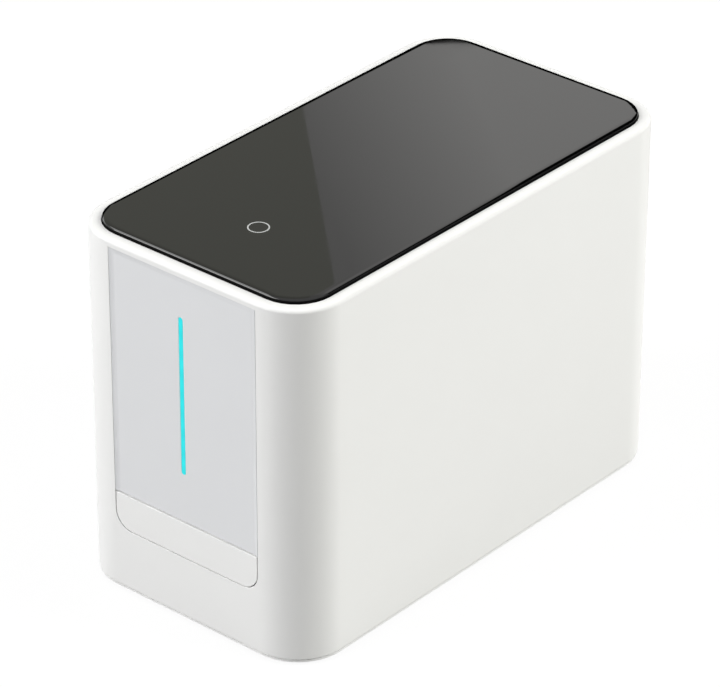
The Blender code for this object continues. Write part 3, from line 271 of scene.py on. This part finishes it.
# %% Black plastics and rubber
black_abs = finish(
    "moulded_abs_textured_black", "#1D1D1F", "#232325", (0.44, 0.6), 0.4, 0.008, worn="#3A3A3C", IOR=1.53
)
polished_black = finish(
    "moulded_abs_polished_black", "#141415", "#19191A", (0.18, 0.26), 2.0, 0.001, worn="#2B2B2D", IOR=1.53
)
fibre_nylon = finish(
    "glass_filled_nylon_black", "#17171A", "#1F1F22", (0.4, 0.6), 0.5, 0.006, stretch=(1, 1, 0.25), IOR=1.53
)
silicone = finish("moulded_silicone_rubber_black", "#161616", "#1D1D1D", (0.75, 0.9), 0.5, 0.006, IOR=1.41)
foam_tape = finish("acrylic_foam_tape_black", "#121212", "#1A1A1A", (0.85, 0.95), 0.6, 0.03, IOR=1.45)
print(black_abs.name, polished_black.name, fibre_nylon.name, silicone.name, foam_tape.name)

# %% [markdown]
# The rack, the drive gear and the rails are acetal, milled from white stock. It slides without grease and
# lets a little light in, so it looks milky. Milling leaves fine parallel lines, drawn here as a noise
# that is stretched across the cut.

# %% Acetal running parts
acetal = finish(
    "milled_acetal_natural", "#ECEAE0", "#E4E2D6", (0.3, 0.42), 0.5, 0.004, worn="#D9D6C8",
    stretch=(1, 0.15, 1), IOR=1.48, Subsurface_Weight=0.15, Subsurface_Scale=2 * MM,
)
print(acetal.name)

# %% [markdown]
# Metals get their look from what the tool did to them. A ground axle has fine rings, a plated sheet has a
# cloudy zinc bloom, a milled plate has straight lines, turned brass is bright with rings, and a drawn can
# is smooth and a little uneven. Metallic is 1, the IOR stays at its default, and the stretch of the fine
# noise lays the lines in the direction of the cut.

# %% Metals
ground_steel = finish(
    "ground_steel", "#BDBEC0", "#B0B1B4", (0.22, 0.34), 0.4, 0.002, stretch=(3, 3, 0.3), Metallic=1.0
)
zinc_sheet = finish("zinc_plated_steel_sheet", "#B4B7B8", "#A3A7A9", (0.3, 0.45), 1.5, 0.002, Metallic=1.0)
nickel_shell = finish("nickel_plated_shell", "#C6C3BC", "#BAB7B0", (0.2, 0.3), 0.8, 0.001, Metallic=1.0)
black_oxide = finish("black_oxide_screw_steel", "#3A3A3C", "#2C2C2E", (0.35, 0.5), 0.5, 0.002, Metallic=1.0)
brass = finish(
    "turned_brass", "#D2B070", "#C6A262", (0.2, 0.32), 0.4, 0.002, stretch=(0.3, 3, 3), Metallic=1.0
)
milled_aluminium = finish(
    "milled_aluminium", "#C9CACC", "#BFC0C3", (0.3, 0.42), 0.5, 0.003, stretch=(0.12, 2, 1), Metallic=1.0
)
drawn_aluminium = finish("drawn_aluminium_can", "#B9BABD", "#ADAEB2", (0.28, 0.4), 1.2, 0.002, Metallic=1.0)
silvered_glass = finish("front_silvered_mirror", "#EDEDEE", "#E8E8EA", (0.01, 0.03), 2.0, 0.0, Metallic=1.0)
print(ground_steel.name, zinc_sheet.name, nickel_shell.name, black_oxide.name)
print(brass.name, milled_aluminium.name, drawn_aluminium.name, silvered_glass.name)

# %% [markdown]
# A circuit board is woven glass in green resin under a lacquer. Copper tracks lie under the lacquer and
# show as a lighter green in straight runs. They are drawn as a brick pattern seen from above, which takes
# the place of the two shades, and the grain of the recipe makes their gloss uneven.

# %% Circuit boards
TRACK_PATTERN = 9 * MM


def circuit_board():
    """A lacquered green board with lighter runs of copper tracks."""
    material = finish("glass_epoxy_board_green", "#0F5B33", "#0B4F2B", (0.28, 0.4), 0.5, 0.004, IOR=1.55)
    tree = material.node_tree
    where = add_node(tree, "ShaderNodeTexCoord").outputs["Object"]
    tracks = add_node(
        tree, "ShaderNodeTexBrick",
        {
            "Color1": linear("#0F5B33"), "Color2": linear("#0C532E"), "Mortar": linear("#2C8A55"),
            "Scale": 1 / TRACK_PATTERN, "Mortar Size": 0.03, "Brick Width": 0.9, "Row Height": 0.22,
        },
        {"Vector": where},
    ).outputs[0]
    tree.links.new(tracks, tree.nodes["Principled BSDF"].inputs["Base Color"])
    return material


green_board = circuit_board()
blue_glass = finish(
    "blue_filter_glass", "#1C3FC0", "#1938B0", (0.02, 0.05), 4.0, 0.0, IOR=1.52, Transmission_Weight=0.7
)
print(green_board.name, blue_glass.name)

# %% [markdown]
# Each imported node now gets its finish. The node itself is made of loose triangles with hard edges, as a
# file for exchange has to be. No moulded or machined piece has an edge that sharp: a tool wears, and a
# designer rounds it by a few tenths of a millimetre, and that thin round is what catches the light. So a
# merged copy stands in for each node: doubles are merged, flat triangles are joined back into whole
# faces, and the sharp edges get a small bevel. A bevel that would overlap itself anywhere gets narrower
# everywhere, so edges that hang together are bevelled by themselves, and one narrow slot doesn't keep
# the rest sharp. The corners of the bevel's own faces are painted as "worn_edge" for the finishes above,
# so the flat faces beside them stay clean. The copy replaces its node in the picture and rides on the
# same body.

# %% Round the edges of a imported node
import bmesh

SHARP, FLAT = math.radians(35), math.radians(0.5)
WELD = 0.001 * MM
body_of = {node: body for body, nodes in frame["record"]["behaviour"]["bodies"].items() for node in nodes}
slot_of = {part["node"]: part["material_slot"] for part in frame["record"]["subparts"]}


def object_of(bm, name, *materials):
    """Turns a bmesh into an object in the scene."""
    mesh = bpy.data.meshes.new(name)
    bm.to_mesh(mesh)
    bm.free()
    for material in materials:
        mesh.materials.append(material)
    piece = bpy.data.objects.new(name, mesh)
    bpy.context.scene.collection.objects.link(piece)
    return piece


def show(bm, name, body, slot, *materials):
    """Makes a piece of a bmesh, smooth but for its sharp edges, and lets it ride on its body."""
    piece = object_of(bm, name, *materials)
    piece.data.shade_smooth()
    piece.data.set_sharp_from_angle(angle=SHARP)
    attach(piece, body)
    return piece


def chains(edges):
    """Sorts edges into groups that hang together."""
    left = set(edges)
    for first in edges:
        if first in left:
            chain = [first]
            left.remove(first)
            for edge in chain:
                near = [other for vert in edge.verts for other in vert.link_edges if other in left]
                chain += dict.fromkeys(near)
                left.difference_update(near)
            yield chain


def rounded(node, round_mm, *materials, steps=2):
    """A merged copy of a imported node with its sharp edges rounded, which stands in for the node."""
    bm = bmesh.new()
    bm.from_mesh(frame["nodes"][node].data)
    worn = bm.loops.layers.float.new("worn_edge")
    bmesh.ops.remove_doubles(bm, verts=bm.verts, dist=WELD)
    bmesh.ops.dissolve_limit(bm, angle_limit=FLAT, verts=bm.verts, edges=bm.edges)
    edges = [edge for edge in bm.edges if edge.is_manifold and edge.calc_face_angle() > SHARP]
    for chain in list(chains(edges)):
        made = bmesh.ops.bevel(
            bm, geom=chain, offset=round_mm * MM, offset_type="OFFSET", segments=steps, profile=0.5,
            affect="EDGES", clamp_overlap=True, material=-1,
        )
        for loop in [loop for face in made["faces"] for loop in face.loops]:
            loop[worn] = 1.0
    piece = show(bm, node + "_finished", body_of[node], slot_of[node], *materials)
    even = piece.modifiers.new("even_shading", "WEIGHTED_NORMAL")
    even.keep_sharp = True
    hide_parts(node)
    return piece


# %% [markdown]
# The rounds are chosen piece by piece. Mouldings have 0.1 to 0.25 mm, the housing least of them, because
# the edges of its window look crisp in the photograph. Metal has 0.05 to 0.2 mm and glass 0.05 to 0.1 mm.
# The teeth have only 0.05 mm, or they would no longer mesh.

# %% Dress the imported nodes
FINISHES = (
    (white_abs, 0.1, ("housing",)),
    (white_abs, 0.2, ("tray_front",)),
    (grey_polycarbonate, 0.15, ("front_panel",)),
    (lit_cyan, 0.12, ("light_bar",)),
    (black_abs, 0.25, (
        "plate_tray", "base_plate", "scan_hood", "detector_stand", "rear_panel", "switch_frame",
    )),
    (polished_black, 0.15, ("power_inlet", "switch_rocker")),
    (fibre_nylon, 0.12, ("fan_frame", "fan_rotor")),
    (silicone, 0.2, ("foot_front_left", "foot_front_right", "foot_rear_left", "foot_rear_right")),
    (foam_tape, 0.05, ("glass_adhesive",)),
    (acetal, 0.05, ("tray_rack", "drive_gear", "rail_left", "rail_right")),
    (ground_steel, 0.1, ("drive_axle", "galvo_x", "galvo_y", "drive_motor")),
    (zinc_sheet, 0.1, ("gear_bracket",)),
    (nickel_shell, 0.05, ("usb_port",)),
    (black_oxide, 0.1, (
        "base_screw_front_left", "base_screw_front_right", "base_screw_rear_left", "base_screw_rear_right",
    )),
    (brass, 0.05, ("motor_pinion", "laser_module")),
    (milled_aluminium, 0.15, ("head_plate", "galvo_mount", "laser_mount")),
    (drawn_aluminium, 0.2, ("photomultiplier", "high_voltage_supply")),
    (silvered_glass, 0.05, ("scan_mirror_x", "scan_mirror_y")),
    (green_board, 0.05, (
        "touch_board", "light_board", "eraser_lamp_left", "eraser_lamp_right", "main_board",
    )),
    (blue_glass, 0.1, ("light_filter",)),
)
finished = {}
for material, round_mm, nodes in FINISHES:
    for node in nodes:
        finished[node] = rounded(node, round_mm, material)
print("pieces dressed:", len(finished))

# %% [markdown]
# The panel is sealed into the window with a soft lip of grey silicone, so that no cleaning fluid gets in.
# The lip covers the gap on three sides and slopes down to the panel like the inside of a dish, so a cloth
# meets no corner, and from the side it shades the edge of the panel softly. The fourth side is the top of
# the tray's front, which has to slide. The lip starts as one face as large as the window, or a little
# longer at its lower end. Inset, repeated with less and less depth, makes the slope. Then the middle is
# deleted and the lower end cut off level. The whole lip lies 0.07 mm left of the middle, as its shaded
# edges do in the photograph.

# %% Sealing lip of the panel
seal_grey = finish("moulded_silicone_lip_grey", "#DBDCDE", "#D7D8DA", (0.45, 0.55), 0.5, 0.001, IOR=1.41)
SLIDING_GAP, LIP_GAP, LIP_SHIFT, LIP_BELOW_FRONT = 0.4 * MM, 0.15 * MM, -0.07 * MM, 0.1 * MM
LIP_THICKNESS, LIP_STEP, LIP_SLOPES = 0.1 * MM, 0.35 * MM, (17, 15, 12, 9, 6, 3)
housing_low, housing_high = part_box("housing")
panel_low, panel_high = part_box("front_panel")
_, tray_front_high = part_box("tray_front")


def one_face(width, height):
    """A mesh with one rectangular face in the plane of X and Y, about the origin."""
    bm = bmesh.new()
    bmesh.ops.create_grid(bm, x_segments=1, y_segments=1, size=1 / 2)
    bmesh.ops.scale(bm, verts=bm.verts, vec=(width, height, 1))
    return bm


def sealing_lip():
    """A dished lip along the left, the top and the right of the panel."""
    lip_width = LIP_STEP * len(LIP_SLOPES)
    width = 2 * (tray_front_high.x + SLIDING_GAP - LIP_GAP)
    bottom, top = panel_low.z - 2 * lip_width, panel_high.z + SLIDING_GAP - LIP_GAP
    bm = one_face(width, top - bottom)
    bmesh.ops.rotate(bm, verts=bm.verts, cent=(0, 0, 0), matrix=Matrix.Rotation(math.radians(90), 3, "X"))
    seat = (LIP_SHIFT, housing_low.y + LIP_BELOW_FRONT, (top + bottom) / 2)
    bmesh.ops.translate(bm, verts=bm.verts, vec=seat)
    middle = list(bm.faces)
    for slope in LIP_SLOPES:
        fall = LIP_STEP * math.tan(math.radians(slope))
        bmesh.ops.inset_region(
            bm, faces=middle, thickness=LIP_STEP, depth=-fall, use_boundary=True, use_even_offset=True
        )
    bmesh.ops.delete(bm, geom=middle, context="FACES")
    bmesh.ops.solidify(bm, geom=bm.faces, thickness=LIP_THICKNESS)
    bmesh.ops.bisect_plane(
        bm, geom=[*bm.verts, *bm.edges, *bm.faces], plane_co=(0, 0, panel_low.z), plane_no=(0, 0, 1),
        clear_inner=True,
    )
    bmesh.ops.holes_fill(bm, edges=[edge for edge in bm.edges if edge.is_boundary])
    bmesh.ops.recalc_face_normals(bm, faces=bm.faces)
    return bm


lip = show(sealing_lip(), "panel_seal", "scanner", "grey_panel", seal_grey)
deepest = max(vert.co.y for vert in lip.data.vertices) - housing_low.y
print("lip in mm:", [round(size / MM, 2) for size in lip.dimensions], "deepest:", round(deepest / MM, 2))

# %% [markdown]
# The housing ends a little above the table, and a low rim of the same plastic closes it below, set in by a
# third of a millimetre. It lies in the shade of the housing, so from above it shows as a fine darker line
# along the bottom edge. It is made like the lip: one face, its corners rounded, inset, the middle deleted,
# and a depth from solidify.

# %% Rim of the base
RIM_SET_IN, RIM_WIDTH, RIM_LOW = 0.35 * MM, 1.6 * MM, 1.25 * MM
HOUSING_CORNER = 20.2 * MM


def base_rim(corner_steps=14):
    """A low band all round, just inside the outline of the housing."""
    size = housing_high - housing_low
    bm = one_face(size.x - 2 * RIM_SET_IN, size.y - 2 * RIM_SET_IN)
    bmesh.ops.bevel(
        bm, geom=bm.verts, offset=HOUSING_CORNER - RIM_SET_IN, offset_type="OFFSET", segments=corner_steps,
        profile=0.5, affect="VERTICES", material=-1,
    )
    middle = list(bm.faces)
    bmesh.ops.inset_region(bm, faces=middle, thickness=RIM_WIDTH, use_boundary=True, use_even_offset=True)
    bmesh.ops.delete(bm, geom=middle, context="FACES")
    bmesh.ops.solidify(bm, geom=bm.faces, thickness=housing_low.z - RIM_LOW)
    bmesh.ops.recalc_face_normals(bm, faces=bm.faces)
    lowest = min(vert.co.z for vert in bm.verts)
    bmesh.ops.translate(bm, verts=bm.verts, vec=(0, 0, RIM_LOW - lowest))
    return bm


rim = show(base_rim(), "base_rim", "scanner", "white_moulding", white_abs)
print("rim in mm:", [round(size / MM, 2) for size in rim.dimensions], "faces:", len(rim.data.polygons))

# %% [markdown]
# The glass needs two finishes on one piece: polished on its faces, dull on its ground edge. Faces that
# stand upright are given the second material slot. The upper edge rolls off and stays polished, and the
# lamp at the front left draws a thin bright line in it.

# %% Black glass top
GLASS_ROUND_MM = 0.08
UPRIGHT_BELOW = 0.1
glass = rounded("glass_top", GLASS_ROUND_MM, black_glass, ground_edge)
for face in glass.data.polygons:
    face.material_index = int(abs(face.normal.z) < UPRIGHT_BELOW)
print("upright faces of the glass:", sum(face.material_index for face in glass.data.polygons))

# %% [markdown]
# A touch ring is printed near the front edge of the glass, 8 mm across with a line half a millimetre
# wide. A ring is a small section carried round an axis, so it is made with spin: a flat quadrilateral
# goes round once, and use_merge closes it. The ink is a few hundredths of a millimetre thick.

# %% Printed touch ring
RING_RADIUS, RING_LINE, INK = 4.0 * MM, 0.5 * MM, 0.02 * MM
TOUCH_FROM_FRONT, TOUCH_FROM_MIDDLE = 38.6 * MM, 1.4 * MM
ring_ink = finish("screen_printed_ink_grey", "#BABCBB", "#B2B4B3", (0.4, 0.5), 0.2, 0.002, IOR=1.5)


def ring(radius, line, low, high, steps=72):
    """A flat ring about Z: its section is one face, and spin carries it round."""
    bm = bmesh.new()
    corners = ((radius - line, low), (radius, low), (radius, high), (radius - line, high))
    section = bm.faces.new([bm.verts.new((x, 0, z)) for x, z in corners])
    edges = list(section.edges)
    bmesh.ops.delete(bm, geom=[section], context="FACES_ONLY")
    bmesh.ops.spin(
        bm, geom=edges, cent=(0, 0, 0), axis=(0, 0, 1), angle=2 * math.pi, steps=steps, use_merge=True
    )
    bmesh.ops.remove_doubles(bm, verts=bm.verts, dist=WELD)
    bmesh.ops.recalc_face_normals(bm, faces=bm.faces)
    return bm


_, glass_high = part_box("glass_top")
ring_at = Vector((TOUCH_FROM_MIDDLE, housing_low.y + TOUCH_FROM_FRONT, glass_high.z))
touch_ring = ring(RING_RADIUS, RING_LINE, -INK / 2, INK)
bmesh.ops.translate(touch_ring, verts=touch_ring.verts, vec=ring_at)
show(touch_ring, "touch_ring", "scanner", "grey_panel", ring_ink)
print("touch ring at", [round(c / MM, 1) for c in ring_at])

# %% [markdown]
# The power rocker at the rear carries the two marks that every such switch has: a bar on the half that is
# pressed when the power is on, and a ring on the other half. Both are printed flat on their half, so they
# take its place and its tilt from the two largest faces of the rocker that look to the rear, and they
# ride on the rocker.

# %% Marks on the power rocker
MARK_HEIGHT, MARK_LINE = 2.6 * MM, 0.4 * MM
REARWARD_ABOVE = 0.8
UP = Vector((0, 0, 1))
white_ink = finish("pad_printed_ink_white", "#E4E4E2", "#D8D8D6", (0.45, 0.55), 0.2, 0.002, IOR=1.5)


def bar(width, height, low, high):
    """A flat bar in the plane of X and Y."""
    bm = bmesh.new()
    bmesh.ops.create_cube(bm, size=1)
    bmesh.ops.scale(bm, verts=bm.verts, vec=(width, height, high - low))
    bmesh.ops.translate(bm, verts=bm.verts, vec=(0, 0, (low + high) / 2))
    return bm


faces = finished["switch_rocker"].data.polygons
to_the_rear = [face for face in faces if face.normal.y > REARWARD_ABOVE]
halves = sorted(to_the_rear, key=lambda face: -face.area)[:2]
halves.sort(key=lambda face: face.center.x)
marks = (
    ("rocker_mark_off", ring(MARK_HEIGHT / 2, MARK_LINE, -INK / 2, INK, steps=40)),
    ("rocker_mark_on", bar(MARK_LINE, MARK_HEIGHT, -INK / 2, INK)),
)
for half, (name, bm) in zip(halves, marks):
    turned = Matrix((UP.cross(half.normal), UP, half.normal)).transposed().to_4x4()
    bmesh.ops.transform(bm, matrix=Matrix.Translation(half.center) @ turned, verts=bm.verts)
    show(bm, name, body_of["switch_rocker"], "grey_panel", white_ink)
    print(name, "at", [round(c / MM, 1) for c in half.center])

# %% [markdown]
# The studio has a wide pale floor. Where the camera, metal or glass sees it, the floor is mostly plain
# white light, so that the background is white, and partly a lit surface, so that the object's soft shadow
# stays. For all other rays it is an ordinary pale floor that throws light back up.

# %% Pale floor
FLOOR_SIZE = 8.0
FLOOR_GREY, FLOOR_GLOW, GLOW_SHARE = "#A2A2A2", 1.16, 0.8


def seen_directly(tree):
    """One for rays from the camera and for those that metal and glass send on, otherwise zero."""
    path = add_node(tree, "ShaderNodeLightPath")
    eye = add_node(
        tree, "ShaderNodeMath", {"operation": "MAXIMUM"},
        {0: path.outputs["Is Camera Ray"], 1: path.outputs["Is Glossy Ray"]},
    )
    return add_node(
        tree, "ShaderNodeMath", {"operation": "MAXIMUM"},
        {0: eye.outputs[0], 1: path.outputs["Is Transmission Ray"]},
    ).outputs[0]


def pale_floor():
    """Mostly a white glow where it is seen directly, and a lit grey for all other rays."""
    material = bpy.data.materials.new("pale_studio_floor")
    material.use_nodes = True
    tree = material.node_tree
    tree.nodes.clear()
    lit = add_node(tree, "ShaderNodeBsdfDiffuse", {"Color": linear(FLOOR_GREY)})
    white = add_node(tree, "ShaderNodeEmission", {"Color": linear("#FFFFFF"), "Strength": FLOOR_GLOW})
    share = add_node(
        tree, "ShaderNodeMath", {"operation": "MULTIPLY", 1: GLOW_SHARE}, {0: seen_directly(tree)}
    )
    both = add_node(
        tree, "ShaderNodeMixShader", links={0: share.outputs[0], 1: lit.outputs[0], 2: white.outputs[0]}
    )
    add_node(tree, "ShaderNodeOutputMaterial", links={"Surface": both.outputs[0]})
    return material


floor = object_of(one_face(FLOOR_SIZE, FLOOR_SIZE), "floor", pale_floor())
print("floor in metres:", FLOOR_SIZE)

# %% [markdown]
# The world is white where the camera, metal or glass sees it. For everything else it is a dim, even light
# that only fills the shadows.

# %% White surroundings
FILL_STRENGTH = 0.05

world = bpy.data.worlds.new("white_surroundings")
world.use_nodes = True
bpy.context.scene.world = world
tree = world.node_tree
strength = add_node(
    tree, "ShaderNodeMapRange", {"To Min": FILL_STRENGTH, "To Max": 1.0}, {"Value": seen_directly(tree)}
)
backdrop = tree.nodes["Background"]
backdrop.inputs["Color"].default_value = linear("#FFFFFF")
tree.links.new(strength.outputs[0], backdrop.inputs["Strength"])
bpy.context.scene.view_settings.view_transform = "Standard"
print("fill strength:", FILL_STRENGTH)

# %% [markdown]
# Three large soft lamps light the scanner: one from the front left for the front face, one from the right
# and a little behind for the long side, and one overhead for the rim. Because the first two stand wide
# apart, the rounded corner between them gets the least light and goes softly grey, which is what shows its
# round. Two weak ones at the left and at the rear only graze the outer rounds and melt them into the white.
# Only the lamp at the front left is seen in reflections: it draws the bright line along the front edge of
# the glass. All stand equally far away, so their powers can be compared.

# %% Soft lamps
LAMP_DISTANCE = 3.2


def softbox(name, azimuth, elevation, watts, size=1.8, colour="#FFFFFF"):
    """A square soft lamp that looks at the middle of the scanner."""
    away = direction(azimuth, elevation)
    lamp = bpy.data.objects.new(name, bpy.data.lights.new(name, "AREA"))
    lamp.data.size = size
    lamp.data.energy = watts
    lamp.data.color = linear(colour)[:3]
    lamp.location = LOOK_AT + LAMP_DISTANCE * away
    lamp.rotation_euler = away.to_track_quat("Z", "Y").to_euler()
    lamp.visible_camera = False
    lamp.visible_glossy = False
    bpy.context.scene.collection.objects.link(lamp)
    print(name, "at", [round(c, 2) for c in lamp.location], "watts:", watts)
    return lamp


softbox("lamp_front_left", azimuth=-31, elevation=29, watts=98).visible_glossy = True
softbox("lamp_right", azimuth=121, elevation=28, watts=104, colour="#FFFFFB")
softbox("lamp_overhead", azimuth=0, elevation=88, watts=27, size=2.4)
softbox("lamp_left", azimuth=-105, elevation=25, watts=15)
softbox("lamp_rear", azimuth=180, elevation=25, watts=16)

# %% [markdown]
# A black mirror shows what stands behind it. Seen from the camera, the glass reflects the wall at the left
# rear, so a tall card stands there. The card is about half as bright as the white surroundings on its left
# part, and brighter to the right of a straight upright edge, which the glass shows as a slanting line. Two
# points of that line are given in millimetres from the middle of the glass. To place the edge, the camera
# is mirrored in the glass: a line from the mirrored camera through a point of the glass meets the card
# where that point's reflection comes from.

# %% Reflected card
CARD_DISTANCE = 1.5
EDGE_ON_GLASS = (Vector((-48, 14.9)) * MM, Vector((46, -75.9)) * MM)
CARD_WIDTH, CARD_HEIGHT = 2.4, 2.0

mirrored = Vector((camera.location.x, camera.location.y, 2 * glass_high.z - camera.location.z))
outward = Vector((-towards_camera.x, -towards_camera.y, towards_camera.z))
card_middle = Vector((0, 0, glass_high.z)) + CARD_DISTANCE * outward


def on_card(spot):
    """The point of the card's plane that the camera sees in the glass at that spot."""
    ray = Vector((spot.x, spot.y, glass_high.z)) - mirrored
    return mirrored + ray * ((card_middle - mirrored).dot(outward) / ray.dot(outward))


edge_low, edge_high = on_card(EDGE_ON_GLASS[0]), on_card(EDGE_ON_GLASS[1])
edge_up = (edge_high - edge_low).normalized()
edge_right = outward.cross(edge_up)
print("edge on the card in mm:", round((edge_high - edge_low).length / MM))

# %% [markdown]
# The card is a single face with its origin on the edge, so that its X coordinate is the distance from the
# edge. Its light is emission alone: one strength to the left of the edge, and a ramp to the right of it.
# Only glossy rays see the card, so it can't stand in the picture or shade anything.

# %% Make the card
LEFT_LIGHT, RAMP_LOW, RAMP_HIGH = 0.56, 0.74, 1.40
RAMP_START, RAMP_END, RAMP_LEAN = -12 * MM, 120 * MM, -0.22
LEFT_TINT, RIGHT_TINT = "#FEFFF2", "#FFFEFC"


def card_light():
    """Even light to the left of the edge, and light that rises away from it to the right."""
    material = bpy.data.materials.new("studio_card")
    material.use_nodes = True
    tree = material.node_tree
    tree.nodes.clear()
    where = add_node(tree, "ShaderNodeTexCoord").outputs["Object"]
    across = add_node(tree, "ShaderNodeSeparateXYZ", links={"Vector": where}).outputs["X"]
    leaning = add_node(
        tree, "ShaderNodeVectorMath", {"operation": "DOT_PRODUCT", 1: (1, RAMP_LEAN, 0)}, {0: where}
    ).outputs["Value"]
    ramp = add_node(
        tree, "ShaderNodeMapRange",
        {"From Min": RAMP_START, "From Max": RAMP_END, "To Min": RAMP_LOW, "To Max": RAMP_HIGH},
        {"Value": leaning},
    ).outputs[0]
    right = add_node(tree, "ShaderNodeMath", {"operation": "GREATER_THAN", 1: 0.0}, {0: across}).outputs[0]
    light = add_node(tree, "ShaderNodeMix", {2: LEFT_LIGHT}, {0: right, 3: ramp}).outputs[0]
    tints = {"data_type": "RGBA", 6: linear(LEFT_TINT), 7: linear(RIGHT_TINT)}
    tint = add_node(tree, "ShaderNodeMix", tints, {0: right}).outputs[2]
    glow = add_node(tree, "ShaderNodeEmission", links={"Color": tint, "Strength": light})
    add_node(tree, "ShaderNodeOutputMaterial", links={"Surface": glow.outputs[0]})
    return material


def only_in_reflections(card):
    """Hides a card from every ray but the glossy ones."""
    card.visible_camera = card.visible_diffuse = card.visible_shadow = False
    card.visible_transmission = card.visible_volume_scatter = False


card = object_of(one_face(CARD_WIDTH, CARD_HEIGHT), "studio_card", card_light())
turned = Matrix((edge_right, edge_up, -outward)).transposed().to_4x4()
card.matrix_world = Matrix.Translation(edge_low) @ turned
only_in_reflections(card)
print("card at", [round(c, 2) for c in edge_low])

# %% [markdown]
# Black glass on white gets its outline from cards that only show in its rolled edge. Photographers call
# the black ones flags. One stands low behind the scanner with a dark cloth in front of it, for the two far
# edges, and one stands at the right. A high white card at the left widens the bright line along the front
# edge, and a lower one carries it round the corner.

# %% Flags and white cards


def plain_card(name, material, size, azimuth, elevation, distance, lying=False):
    """A card that faces the middle of the glass, or lies flat."""
    away = direction(azimuth, elevation)
    flat = (0, 0, math.radians(azimuth))
    card = object_of(one_face(*size), name, material)
    card.location = Vector((0, 0, glass_high.z)) + distance * away
    card.rotation_euler = flat if lying else away.to_track_quat("Z", "Y").to_euler()
    only_in_reflections(card)
    return card


def glowing(name, colour, strength):
    """A material that gives light and reflects none."""
    material = bpy.data.materials.new(name)
    material.use_nodes = True
    shader = material.node_tree.nodes["Principled BSDF"]
    shader.inputs["Base Color"].default_value = linear("#000000")
    shader.inputs["Specular IOR Level"].default_value = 0.0
    shader.inputs["Emission Color"].default_value = linear(colour)
    shader.inputs["Emission Strength"].default_value = strength
    return material


black_cloth = glowing("black_flag_cloth", "#000000", strength=0.0)
white_high = glowing("white_card_high", "#FFFFFF", strength=4.0)
white_low = glowing("white_card_low", "#FFFFFF", strength=2.2)
BEHIND = -139.5
cards = [
    plain_card("flag_rear", black_cloth, (2.6, 0.6), azimuth=BEHIND, elevation=10, distance=1.2),
    plain_card(
        "flag_floor", black_cloth, (2.2, 1.0), azimuth=BEHIND, elevation=-11, distance=0.72, lying=True
    ),
    plain_card("flag_right", black_cloth, (1.1, 0.9), azimuth=157, elevation=20, distance=0.8),
    plain_card("white_card_high", white_high, (1.1, 0.45), azimuth=-68, elevation=51, distance=1.6),
    plain_card("white_card_low", white_low, (1.2, 0.7), azimuth=-98, elevation=14, distance=1.6),
]
print("cards:", [card.name for card in cards])

# %% [markdown]
# Last, the json module is imported again.

# %% Import json
import json
